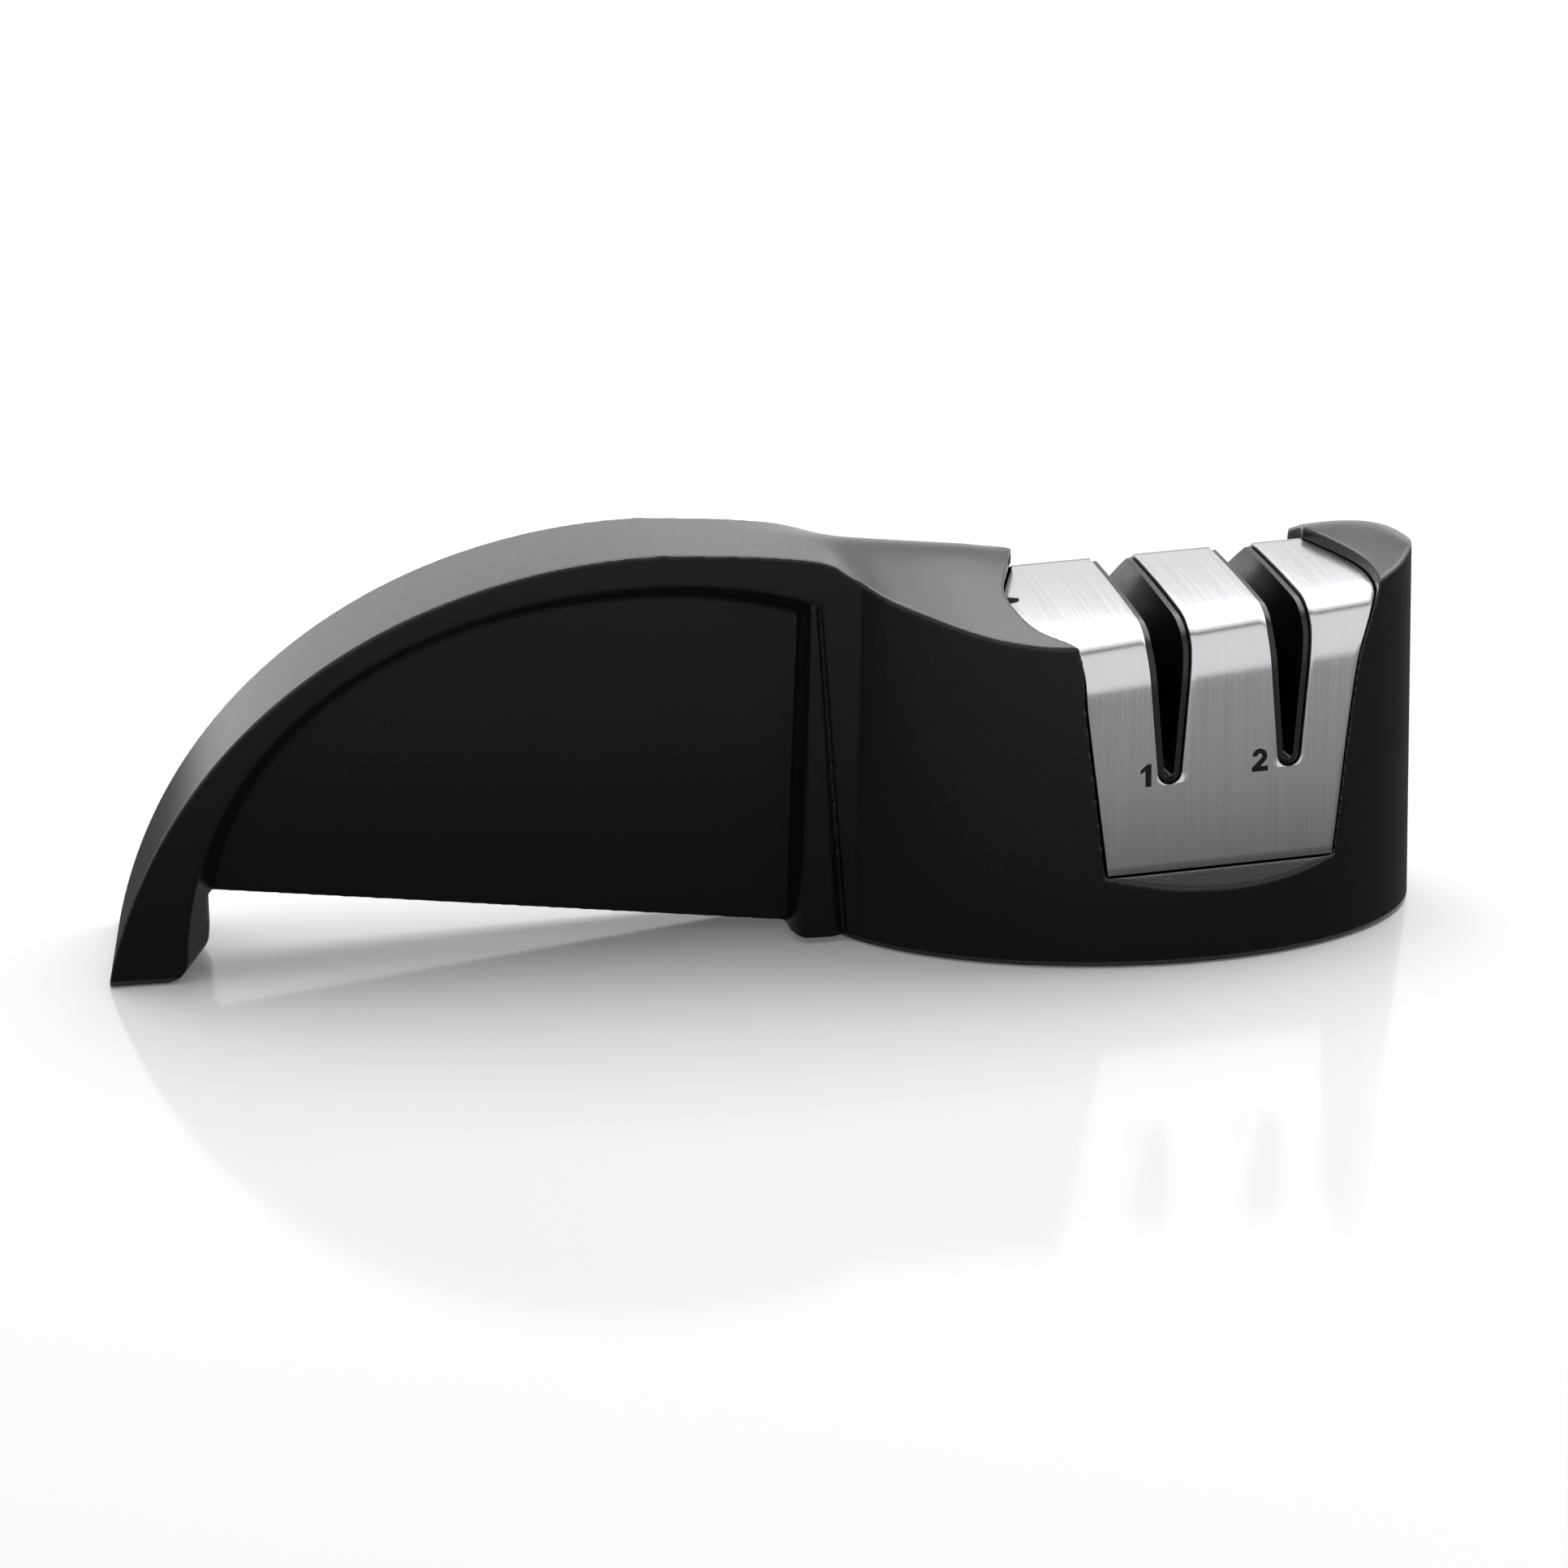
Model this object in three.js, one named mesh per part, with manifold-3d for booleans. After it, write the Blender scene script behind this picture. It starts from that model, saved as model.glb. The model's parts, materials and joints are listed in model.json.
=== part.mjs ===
import * as THREE from 'three';
import { mergeVertices } from 'three/addons/utils/BufferGeometryUtils.js';
import Module from 'manifold-3d';

// A hand-held knife sharpener with two pull-through stages. Millimetres, +Z up, X along its length
// with the sharpening head at +X, and -Y towards the user. The origin is on the table under its middle.

// Overall
const length = 211;
const padStand = 0.2;                 // how far the rubber pads hold the mouldings off the table
const fitGap = 0.3;                   // between pieces that are fixed together
const runGap = 0.3;                   // between pieces that turn on each other

// Head: an oval in plan whose wall leans in with height, but stands upright where the handle joins it
const headHalfLength = 50.5;
const headRootReach = 51.4;           // from its centre towards the handle
const headHalfWidth = 34.6;
const headWall = 2.6;
const wallDraft = THREE.MathUtils.degToRad(3);
const headCentreX = length / 2 - headHalfLength;
const bulkheadInset = 8.5;            // from the head's handle end to its hollow

// Top of the head and of the handle's root, over a ridge: [distance from the head's centre, value]
const crownHeight = [
  [-85, 63.45], [-68, 62.68], [-60.6, 62.28], [-53, 61.7], [-46.9, 61.1], [-43.8, 60.8], [-34.6, 59.93],
  [-25.3, 59.1], [-17, 58.3], [31, 59.9], [38, 60.45], [43.5, 60.25], [47.5, 59.2], [51, 57.5],
];
const crownFront = [
  [-62, 0], [-53, 0.025], [-49.4, 0.074], [-46.9, 0.18], [-43, 0.26], [-37.6, 0.285], [-27, 0.315],
  [-15, 0.278], [30, 0.2], [39, 0.18], [42.2, 0.14], [44, 0.07], [51, 0.03],
];
const crownBack = [[-62, 0], [-53, 0.05], [-46, 0.2], [-43, 0.28], [51, 0.3]];
const crownRound = 4;

// Handle: an arched flange on a middle web, measured from the tip of the handle
const handleHalfWidth = 15;
const archTipPull = [8.7, 37.8];
const archCrownPull = 44;
const archCrown = [87, 63.05];
const legWidth = 11.7;
const legRound = 3.2;
const rimTipPull = [14.5, 42.4];
const rimCrownPull = 56.3;
const rimCrown = [89, 58.4];
const recessCornerHeight = 54.2;
const recessCornerBack = 1;           // its upper corner stops short of the head's end
const recessInset = 3.4;              // and its foot runs into it
const recessDraft = 3;
const webHalfAtTip = 2.5;
const webHalfAtHead = 8;
const webEdgeAtTip = 10.6;
const webEdgeAtHead = 1;
const postFootBack = 0.8;
const postFootRadius = 4.4;
const postTopRadius = 0.6;
const postBulge = 1.6;                // its front stands out from its flanks
const postDepth = 8;

// Steel saddle: two leaning plates and a ridged roof that falls further at the back, cut from one sheet
const steelThick = 0.8;
const plateBottom = 14.6;
const plateLeft = -10.6;              // lower corners of the plates, from the head's centre
const plateRight = 27.1;
const plateLean = THREE.MathUtils.degToRad(5.7);
const ridgeHeight = 56.4;
const ridgeY = 3;
const ridgeRise = THREE.MathUtils.degToRad(3.1);
const frontRoof = [0.12, 0.0015];     // fall from the ridge: slope, and how fast that steepens
const backRoof = [0.5, 0.006];
const bendShare = 0.22;               // part of the roof and of the plate that the bend takes up
// Side edges of the saddle: [0 at the ridge, 1 at the bend, 2 at the foot; distance from the head's centre]
const collarEdge = [
  [0, -16.9], [0.4, -21.9], [0.55, -22], [0.78, -20], [1, -15.2], [1.3, -13.9], [2, plateLeft],
];
const capEdge = [[0, 31.3], [0.55, 35.5], [0.87, 34.9], [1, 33.5], [1.25, 30.7], [2, plateRight]];
const saddleReach = [-26, 40];        // a little past those edges
const ledgeSlope = 0.9;
const ledgeDepth = 5;
const ledgeReach = 3;
const windowHeight = 16;             // what the window takes away above the steel and below it
const windowDepth = 4;

// Knife slots, the second one higher by the ridge's rise
const firstSlot = -0.5;               // from the head's centre
const slotPitch = 20;
const slotFoot = 27.9;
const slotBend = 48.6;
const slotFootHalf = 2.05;
const slotTopHalf = 3.7;
const guideWall = 0.9;
const guideSink = 0.6;                // the lips lie below the steel's face

// Guide block under the steel
const blockSkin = 2;
const blockSlotWall = 1.6;
const cheekThick = 2.7;
const cheekHalf = 14;
const blockBossRadius = 2.8;
const blockBossHeight = 12;

// Axle, hubs and abrasive cones
const axleRadius = 2;
const axleHeight = 25;
const clipThick = 0.6;
const clipRadius = 3.6;
const axleTail = 0.6;                 // axle that shows past each clip
const hubRadius = 3.7;
const hubProud = 0.4;                 // hub that shows past each cone's back
const washerThick = 0.8;
const washerRadius = 4.2;
const coneSmallRadius = 5.2;
const coneRadius = 13;
const coneRun = 3.2;
const coneRim = 1.25;
const wheelRoom = 0.6;
const springWire = 0.8;
const springRadius = 3.2;
const springPitch = 1.42;

// Base cover, screws and pads
const baseThick = 4;
const screwRadius = 1.3;
const screwHeadRadius = 2.8;
const screwHeadThick = 1.6;
const screwLength = 12;
const screwHoleGap = 0.25;
const driveRadius = 1;
const driveDepth = 0.9;
const bossRadius = 3.3;
const bossInset = 14.5;               // bosses for the base screws, from the head's handle end
const bossSide = 10;
const endBossInset = 7.5;             // and from its other end
const padThick = 1.2;
const padRadius = 5;
const padEndInset = 25;               // pads, from the head's ends and sides
const padSideInset = 16.6;
const handlePadInset = 1.6;           // handle's pad, from the tip, the leg's round corner and its sides
const handlePadEdge = 0.9;
const handlePadSide = 3;

// Fineness
const headFacets = 60;
const archSteps = 20;
const rimSteps = 14;
const cornerSteps = 4;
const roofSteps = 4;
const bendSteps = 4;
const settleSteps = 12;               // rounds that find where the roof meets a plate
const saddleSections = 8;
const crownSections = 34;
const crownSteps = 18;
const turnedFacets = 28;
const screwFacets = 14;
const driveFacets = 4;
const wireSides = 5;
const wireSteps = 8;
const over = 1;                       // how far a cutter runs past what it cuts
const high = 80;                      // above everything

const wasm = await Module();
wasm.setup();

const tipX = -length / 2;
const slotX = [0, slotPitch].map((step) => headCentreX + firstSlot + step);
const baseTop = padStand + baseThick;
const insideFoot = baseTop + fitGap;
const hollowX = headCentreX - headHalfLength + bulkheadInset;
const hubLength = fitGap + 2 * (coneRun + coneRim + hubProud);

// Ends of the finger recess and its post, from the tip of the handle
const headEndX = headCentreX - headHalfLength - tipX;
const recessCorner = [headEndX - recessCornerBack, recessCornerHeight];
const recessFootX = headEndX + recessInset;
const postFootX = headEndX - postFootBack;

// Height or width along a line of stations, as a smooth curve through them
function along(stations, at) {
  const last = stations.length - 1;
  let i = 0;
  while (i < last - 1 && at > stations[i + 1][0]) {
    i += 1;
  }
  const slope = (k) => {
    const a = stations[Math.max(k - 1, 0)];
    const b = stations[Math.min(k + 1, last)];
    return (b[1] - a[1]) / (b[0] - a[0]);
  };
  const [x0, v0] = stations[i];
  const [x1, v1] = stations[i + 1];
  const run = x1 - x0;
  const t = THREE.MathUtils.clamp((at - x0) / run, 0, 1);
  const rise = t * t * (3 - 2 * t);
  const lead = t * (1 - t) * (1 - t) * run * slope(i);
  const tail = t * t * (1 - t) * run * slope(i + 1);
  return v0 + (v1 - v0) * rise + lead - tail;
}

function signedVolume(points, triangles) {
  let sum = 0;
  for (let i = 0; i < triangles.length; i += 3) {
    const [a, b, c] = [points[triangles[i]], points[triangles[i + 1]], points[triangles[i + 2]]];
    sum += a.dot(new THREE.Vector3().crossVectors(b, c)) / 6;
  }
  return sum;
}

// Triangles of a flat ring, seen along its largest face direction
function flatCap(ring) {
  const normal = new THREE.Vector3();
  ring.forEach((p, i) => normal.add(new THREE.Vector3().crossVectors(p, ring[(i + 1) % ring.length])));
  const size = normal.toArray().map(Math.abs);
  const drop = size.indexOf(Math.max(...size));
  const flat = ring.map((p) => new THREE.Vector2(...p.toArray().filter((_, axis) => axis !== drop)));
  return THREE.ShapeUtils.triangulateShape(flat, []);
}

// Triangles of a ring that is a bent strip: its second half runs back along its first
function zipCap(ring) {
  const last = ring.length - 1;
  const pairs = Array.from({ length: ring.length / 2 - 1 }, (_, i) => i);
  return pairs.flatMap((i) => [[i, i + 1, last - i - 1], [i, last - i - 1, last - i]]);
}

// A closed solid through rings of points, all with the same count
function loft(rings, cap = flatCap) {
  const count = rings[0].length;
  const points = rings.flat();
  const triangles = [];
  for (let r = 0; r + 1 < rings.length; r += 1) {
    for (let i = 0; i < count; i += 1) {
      const a = r * count + i;
      const b = r * count + ((i + 1) % count);
      triangles.push(a, b, b + count, a, b + count, a + count);
    }
  }
  const addCap = (ring, first, ahead) => {
    const faces = cap(ring);
    const runsAhead = faces.some((face) => face.some((v, k) => v === 0 && face[(k + 1) % 3] === 1));
    faces.forEach(([a, b, c]) => {
      const face = runsAhead === ahead ? [a, b, c] : [a, c, b];
      triangles.push(...face.map((v) => v + first));
    });
  };
  addCap(rings[0], 0, false);
  addCap(rings[rings.length - 1], points.length - count, true);
  if (signedVolume(points, triangles) < 0) {
    triangles.reverse();
  }
  const geometry = new THREE.BufferGeometry();
  geometry.setFromPoints(points);
  geometry.setIndex(triangles);
  return toSolid(geometry);
}

function toSolid(geometry) {
  const bare = geometry.clone();
  bare.deleteAttribute('normal');
  bare.deleteAttribute('uv');
  const merged = mergeVertices(bare);
  return new wasm.Manifold(new wasm.Mesh({
    numProp: 3,
    vertProperties: new Float32Array(merged.attributes.position.array),
    triVerts: new Uint32Array(merged.index.array),
  }));
}

function toGeometry(solid) {
  const mesh = solid.getMesh();
  const geometry = new THREE.BufferGeometry();
  geometry.setAttribute('position', new THREE.BufferAttribute(mesh.vertProperties, mesh.numProp));
  geometry.setIndex(new THREE.BufferAttribute(mesh.triVerts, 1));
  geometry.computeVertexNormals();
  return geometry;
}

function block(xLow, xHigh, yLow, yHigh, zLow, zHigh) {
  const box = new THREE.BoxGeometry(xHigh - xLow, yHigh - yLow, zHigh - zLow);
  return toSolid(box.translate((xLow + xHigh) / 2, (yLow + yHigh) / 2, (zLow + zHigh) / 2));
}

function upright(radius, zLow, zHigh, x, y, facets = screwFacets) {
  const rod = new THREE.CylinderGeometry(radius, radius, zHigh - zLow, facets);
  return toSolid(rod.rotateX(Math.PI / 2).translate(x, y, (zLow + zHigh) / 2));
}

// A turned piece on the axle, from [radius, x] corners that close on themselves
function turned(corners) {
  const profile = [...corners, corners[0]].map(([radius, x]) => new THREE.Vector2(radius, x));
  const lathe = new THREE.LatheGeometry(profile, turnedFacets);
  const solid = lathe.rotateZ(-Math.PI / 2).translate(0, 0, axleHeight);
  const { position } = solid.attributes;
  const pointAt = (_, i) => new THREE.Vector3().fromBufferAttribute(position, i);
  const points = Array.from({ length: position.count }, pointAt);
  const triangles = Array.from(solid.index.array);
  if (signedVolume(points, triangles) < 0) {
    solid.setIndex(triangles.reverse());
  }
  return toSolid(solid);
}

function ringOnAxle(inner, outer, xLow, xHigh) {
  return turned([[inner, xLow], [outer, xLow], [outer, xHigh], [inner, xHigh]]);
}

function rodOnAxle(radius, xLow, xHigh) {
  const rod = new THREE.CylinderGeometry(radius, radius, xHigh - xLow, turnedFacets);
  return toSolid(rod.rotateZ(Math.PI / 2).translate((xLow + xHigh) / 2, 0, axleHeight));
}

// How far the wall leans in at a height, by the cosine of its turn about the head's centre
function leanIn(across, z) {
  const lean = (z - padStand) * Math.tan(wallDraft);
  return across < 0 ? lean * (1 - across * across) : lean;
}

function headReach(across) {
  return across < 0 ? headRootReach : headHalfLength;
}

function headPoint(angle, z, inset) {
  const across = Math.cos(angle);
  const drawIn = leanIn(across, z) + inset;
  const x = headCentreX + (headReach(across) - drawIn) * across;
  return new THREE.Vector3(x, (headHalfWidth - drawIn) * Math.sin(angle), z);
}

function headPrism(zLow, zHigh, inset) {
  const step = (2 * Math.PI) / headFacets;
  const ring = (z) => Array.from({ length: headFacets }, (_, i) => headPoint(i * step, z, inset));
  return loft([ring(zLow), ring(zHigh)]);
}

// Half width of the head's wall at a place along it
function headSide(fromCentre, z) {
  let across = fromCentre / headReach(fromCentre);
  for (let i = 0; i < settleSteps; i += 1) {
    across = fromCentre / (headReach(fromCentre) - leanIn(across, z));
  }
  return (headHalfWidth - leanIn(across, z)) * Math.sqrt(1 - across ** 2);
}

function crownAt(fromCentre, y) {
  const run = Math.hypot(y - ridgeY, crownRound) - crownRound;
  const slope = along(y < ridgeY ? crownFront : crownBack, fromCentre);
  return along(crownHeight, fromCentre) - slope * run;
}

// Everything above the top of the head and of the handle's root
function aboveCrown(lower) {
  const first = crownHeight[0][0];
  const last = headHalfLength + over;
  const width = headHalfWidth + over;
  const rings = Array.from({ length: crownSections + 1 }, (_, i) => {
    const fromCentre = THREE.MathUtils.lerp(first, last, i / crownSections);
    const x = headCentreX + fromCentre;
    const edge = Array.from({ length: crownSteps + 1 }, (_, k) => {
      const y = THREE.MathUtils.lerp(-width, width, k / crownSteps);
      return new THREE.Vector3(x, y, crownAt(fromCentre, y) - lower);
    });
    const lid = [width, -width].map((y) => new THREE.Vector3(x, y, high));
    return [...edge, ...lid];
  });
  return loft(rings);
}

function bezierPoints(corners, steps) {
  const curve = new THREE.CubicBezierCurve(...corners.map(([x, z]) => new THREE.Vector2(x, z)));
  return curve.getPoints(steps).map((p) => [p.x, p.y]);
}

// Side view of the handle, from the tip: the arch, the head's middle and the web's lower edge
function handleOutline() {
  const tip = [0, padStand];
  const crownPull = [archCrownPull, archCrown[1]];
  const arch = bezierPoints([tip, archTipPull, crownPull, archCrown], archSteps);
  const root = headCentreX - tipX;
  const foot = legEdge(recessDraft);
  return [
    ...arch,
    [root, archCrown[1]],
    [root, padStand],
    [postFootX, padStand],
    [postFootX, webEdgeAtHead],
    [foot[foot.length - 1][0], webEdgeAtTip],
    ...foot.slice().reverse(),
  ];
}

// Rounded inner corner of the leg at the tip, moved along by a draft
function legEdge(shift) {
  const centre = [legWidth - legRound + shift, padStand + legRound];
  return Array.from({ length: cornerSteps + 1 }, (_, i) => {
    const angle = THREE.MathUtils.lerp(-Math.PI / 2, 0, i / cornerSteps);
    return [centre[0] + legRound * Math.cos(angle), centre[1] + legRound * Math.sin(angle)];
  });
}

// Outline of the finger recess at the handle's side face, or drawn in by the draft where it meets the web
function recessOutline(drawIn) {
  const start = [legWidth + drawIn, padStand + legRound];
  const crown = [rimCrown[0], rimCrown[1] - drawIn];
  const rim = bezierPoints([
    start,
    [rimTipPull[0] + drawIn, rimTipPull[1] - drawIn],
    [rimCrownPull, crown[1]],
    crown,
  ], rimSteps);
  return [
    [legEdge(drawIn)[0][0], -over],
    ...legEdge(drawIn).slice(0, -1),
    ...rim,
    [recessCorner[0], recessCorner[1] - drawIn],
    [recessFootX, -over],
  ];
}

function webHalf(fromTip) {
  const share = (fromTip - legWidth) / (recessFootX - legWidth);
  return THREE.MathUtils.lerp(webHalfAtTip, webHalfAtHead, THREE.MathUtils.clamp(share, 0, 1));
}

function fingerRecess(side) {
  const ring = (drawIn, half) => recessOutline(drawIn).map(([x, z]) => (
    new THREE.Vector3(tipX + x, side * half(x), z)
  ));
  const outer = ring(0, () => handleHalfWidth + over);
  const face = ring(0, () => handleHalfWidth);
  return loft([outer, face, ring(recessDraft, webHalf)]);
}

// Tapered pillar that ends the recess beside the head, flush with the handle's side
function recessPost(side) {
  const ring = (radius, x, z) => {
    const bulge = Math.min(radius, postBulge);
    const front = Array.from({ length: screwFacets + 1 }, (_, i) => {
      const angle = (i * Math.PI) / screwFacets;
      return [radius * Math.cos(angle), handleHalfWidth - bulge + bulge * Math.sin(angle)];
    });
    const back = [[-radius, handleHalfWidth - postDepth], [radius, handleHalfWidth - postDepth]];
    return [...front, ...back].map(([dx, y]) => new THREE.Vector3(tipX + x + dx, side * y, z));
  };
  return loft([ring(postFootRadius, postFootX, padStand), ring(postTopRadius, ...recessCorner)]);
}

function plateHalf(x, z) {
  const left = headSide(plateLeft, plateBottom);
  const right = headSide(plateRight, plateBottom);
  const share = (x - headCentreX - plateLeft) / (plateRight - plateLeft);
  return THREE.MathUtils.lerp(left, right, share) - (z - plateBottom) * Math.tan(plateLean);
}

function ridgeAt(x) {
  return ridgeHeight + (x - headCentreX) * Math.tan(ridgeRise);
}

// Point on the saddle's front (side -1) or back (side 1): t is 0 at the ridge, 1 at the bend, 2 at the foot
function saddlePoint(x, t, inset, side) {
  const [slope, steepening] = side < 0 ? frontRoof : backRoof;
  const roof = (y) => {
    const run = Math.abs(y - ridgeY);
    return ridgeAt(x) - inset - slope * run - steepening * run * run;
  };
  const plate = (z) => side * (plateHalf(x, z) - inset);
  let bendY = plate(ridgeAt(x));
  for (let i = 0; i < settleSteps; i += 1) {
    bendY = plate(roof(bendY));
  }
  const bend = new THREE.Vector2(bendY, roof(bendY));
  const sharp = (s) => {
    if (s <= 1) {
      const y = THREE.MathUtils.lerp(ridgeY, bendY, s);
      return new THREE.Vector2(y, roof(y));
    }
    const z = THREE.MathUtils.lerp(bend.y, plateBottom, s - 1);
    return new THREE.Vector2(plate(z), z);
  };
  if (Math.abs(t - 1) >= bendShare) {
    return sharp(t);
  }
  const q = (t - 1 + bendShare) / (2 * bendShare);
  return new THREE.QuadraticBezierCurve(sharp(1 - bendShare), bend, sharp(1 + bendShare)).getPoint(q);
}

// Places along the profile from the front plate's foot over the ridge to the back plate's foot
function saddleStations() {
  const roof = Array.from({ length: roofSteps }, (_, i) => ((1 - bendShare) * i) / roofSteps);
  const bendStep = (2 * bendShare) / bendSteps;
  const bend = Array.from({ length: bendSteps + 1 }, (_, i) => 1 - bendShare + bendStep * i);
  const half = [...roof, ...bend, 2];
  const front = half.slice(1).reverse().map((t) => ({ t, side: -1 }));
  return [...front, ...half.map((t) => ({ t, side: 1 }))];
}

// A loft along the saddle through places on its profile, between the side edges at each of those places
function saddleLoft(corners, edges, cap = flatCap) {
  const sectionAt = (share) => corners.map(({ t, side, inset, dropTo }) => {
    const [left, right] = edges(t);
    const x = headCentreX + THREE.MathUtils.lerp(left, right, share);
    const at = saddlePoint(x, t, inset, side);
    return new THREE.Vector3(x, at.x, dropTo === undefined ? at.y : dropTo);
  });
  const rings = Array.from({ length: saddleSections + 1 }, (_, i) => sectionAt(i / saddleSections));
  return loft(rings, cap);
}

function sheetEdges(edgeInset) {
  return (t) => [along(collarEdge, t) + edgeInset, along(capEdge, t) - edgeInset];
}

function saddleSkin(inset) {
  return saddleStations().map((station) => ({ ...station, inset }));
}

// The solid under the saddle at an inset, longer than the saddle and closed at a height
function underSaddle(inset, foot) {
  const dropFeet = (station) => (station.t === 2 ? { ...station, dropTo: foot } : station);
  return saddleLoft(saddleSkin(inset).map(dropFeet), () => saddleReach);
}

// What is cut from the body for the saddle, with a ledge that slopes out from the plate's foot
function saddleWindow() {
  const chord = plateBottom - fitGap;
  const low = chord - ledgeSlope * windowHeight;
  const foot = (side, inset, dropTo) => ({ t: 2, side, inset, dropTo });
  const dropFeet = (station) => (station.t === 2 ? { ...station, dropTo: chord } : station);
  const corners = [
    foot(-1, -windowHeight, low),
    ...saddleSkin(-windowHeight),
    foot(1, -windowHeight, low),
    foot(1, 0, chord),
    ...saddleSkin(windowDepth).map(dropFeet).reverse(),
    foot(-1, 0, chord),
  ];
  return saddleLoft(corners, sheetEdges(-fitGap), zipCap);
}

// Shelf inside the wall that the ledge is cut in
function ledgeShelf() {
  const foot = (fromCentre, reach) => plateHalf(headCentreX + fromCentre, plateBottom) - reach;
  const shelf = [-1, 1].map((side) => {
    const corners = [
      [plateLeft - ledgeReach, headHalfWidth],
      [plateLeft - ledgeReach, foot(plateLeft - ledgeReach, ledgeReach)],
      [plateRight + ledgeReach, foot(plateRight + ledgeReach, ledgeReach)],
      [plateRight + ledgeReach, headHalfWidth],
    ];
    const ring = (z) => corners.map(([x, y]) => new THREE.Vector3(headCentreX + x, side * y, z));
    return loft([ring(plateBottom - fitGap - ledgeDepth), ring(plateBottom - fitGap)]);
  });
  return shelf[0].add(shelf[1]);
}

// A knife slot through the head from front to back, drawn in or let out by an inset
function slotCut(x, inset) {
  const rise = ridgeAt(x) - ridgeHeight;
  const radius = slotFootHalf - inset;
  const centre = slotFoot + slotFootHalf + rise;
  const foot = Array.from({ length: cornerSteps * 2 + 1 }, (_, i) => {
    const angle = Math.PI + (i * Math.PI) / (cornerSteps * 2);
    return [radius * Math.cos(angle), centre + radius * Math.sin(angle)];
  });
  const half = slotTopHalf - inset;
  const bend = slotBend + rise;
  const outline = [...foot, [half, bend], [half, high], [-half, high], [-half, bend]];
  const width = headHalfWidth + over;
  const ring = (y) => outline.map(([dx, z]) => new THREE.Vector3(x + dx, y, z));
  return loft([ring(-width), ring(width)]);
}

function wheelWell(x, room) {
  const half = hubLength / 2 + room;
  return rodOnAxle(coneRadius + room, x - half, x + half);
}

const baseScrewPlaces = [
  [bossInset - headHalfLength, bossSide],
  [bossInset - headHalfLength, -bossSide],
  [headHalfLength - endBossInset, 0],
];
const cheekLeftX = slotX[0] - hubLength / 2 - runGap - washerThick - runGap - cheekThick;
const cheekRightX = slotX[1] + hubLength / 2 + runGap + washerThick + runGap;
const blockScrewPlaces = [cheekLeftX, cheekRightX].map((x) => [x + cheekThick / 2 - headCentreX, 0]);

function makeBody() {
  const outline = handleOutline();
  const ring = (y) => outline.map(([x, z]) => new THREE.Vector3(tipX + x, y, z));
  const handle = loft([ring(-handleHalfWidth), ring(handleHalfWidth)]);
  const recess = (solid, side) => solid.subtract(fingerRecess(side)).add(recessPost(side));
  const recessed = [-1, 1].reduce(recess, handle);
  const outer = recessed.add(headPrism(padStand, high - over, 0)).subtract(aboveCrown(0));
  const hollow = headPrism(-over, high - over, headWall)
    .subtract(aboveCrown(headWall))
    .intersect(block(hollowX, length, -high, high, -high, high));
  const bosses = baseScrewPlaces.map(([x, y]) => upright(bossRadius, insideFoot, high, headCentreX + x, y));
  const kept = bosses.reduce((solid, boss) => solid.add(boss), ledgeShelf());
  const screwHoles = baseScrewPlaces.map(([x, y]) => screwHole(headCentreX + x, y));
  const shell = outer.subtract(hollow.subtract(kept)).subtract(saddleWindow());
  return screwHoles.reduce((solid, hole) => solid.subtract(hole), shell).subtract(handlePadBlock(fitGap));
}

function screwHole(x, y) {
  return upright(screwRadius + screwHoleGap, -over, screwLength + padStand + fitGap, x, y);
}

// Pan-head screw from below, its head in a counterbore
function makeScrew(x, y) {
  const seat = screwSeat();
  const head = upright(screwHeadRadius, seat - screwHeadThick, seat, x, y);
  const face = seat - screwHeadThick;
  const drive = upright(driveRadius, face - over, face + driveDepth, x, y, driveFacets);
  return head.add(upright(screwRadius, seat - driveDepth / 2, screwLength, x, y)).subtract(drive);
}

function screwSeat() {
  return padStand + screwHeadThick + fitGap;
}

function padPlaces() {
  const x = headHalfLength - padEndInset;
  const y = headHalfWidth - padSideInset;
  return [[-x, -y], [-x, y], [x, -y], [x, y]];
}

function makeBase() {
  const inset = headWall + fitGap;
  const limit = block(hollowX + fitGap, length, -high, high, -over, baseTop + over);
  const plate = headPrism(padStand, baseTop, inset).intersect(limit);
  const screws = [...baseScrewPlaces, ...blockScrewPlaces].map(([x, y]) => {
    const bore = upright(screwHeadRadius + fitGap, -over, screwSeat() + fitGap, headCentreX + x, y);
    return bore.add(screwHole(headCentreX + x, y));
  });
  const pockets = padPlaces().map(([x, y]) => (
    upright(padRadius + fitGap, -over, padThick + fitGap, headCentreX + x, y, turnedFacets)
  ));
  return [...screws, ...pockets].reduce((solid, cut) => solid.subtract(cut), plate);
}

function makePad(x, y) {
  return upright(padRadius, 0, padThick, headCentreX + x, y, turnedFacets);
}

function handlePadBlock(gap) {
  const left = tipX + handlePadInset;
  const right = tipX + legWidth - legRound - handlePadEdge;
  const side = handleHalfWidth - handlePadSide;
  return block(left - gap, right + gap, -side - gap, side + gap, 0, padThick + gap);
}

function makeSteel() {
  const outside = saddleSkin(0);
  const inside = saddleSkin(steelThick).reverse();
  const sheet = saddleLoft([...outside, ...inside], sheetEdges(0), zipCap);
  return slotX.reduce((solid, x) => solid.subtract(slotCut(x, 0)), sheet);
}

function makeSlotGuide(x) {
  const channel = slotCut(x, fitGap).subtract(slotCut(x, fitGap + guideWall));
  return channel.intersect(underSaddle(guideSink, plateBottom)).subtract(wheelWell(x, wheelRoom));
}

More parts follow.
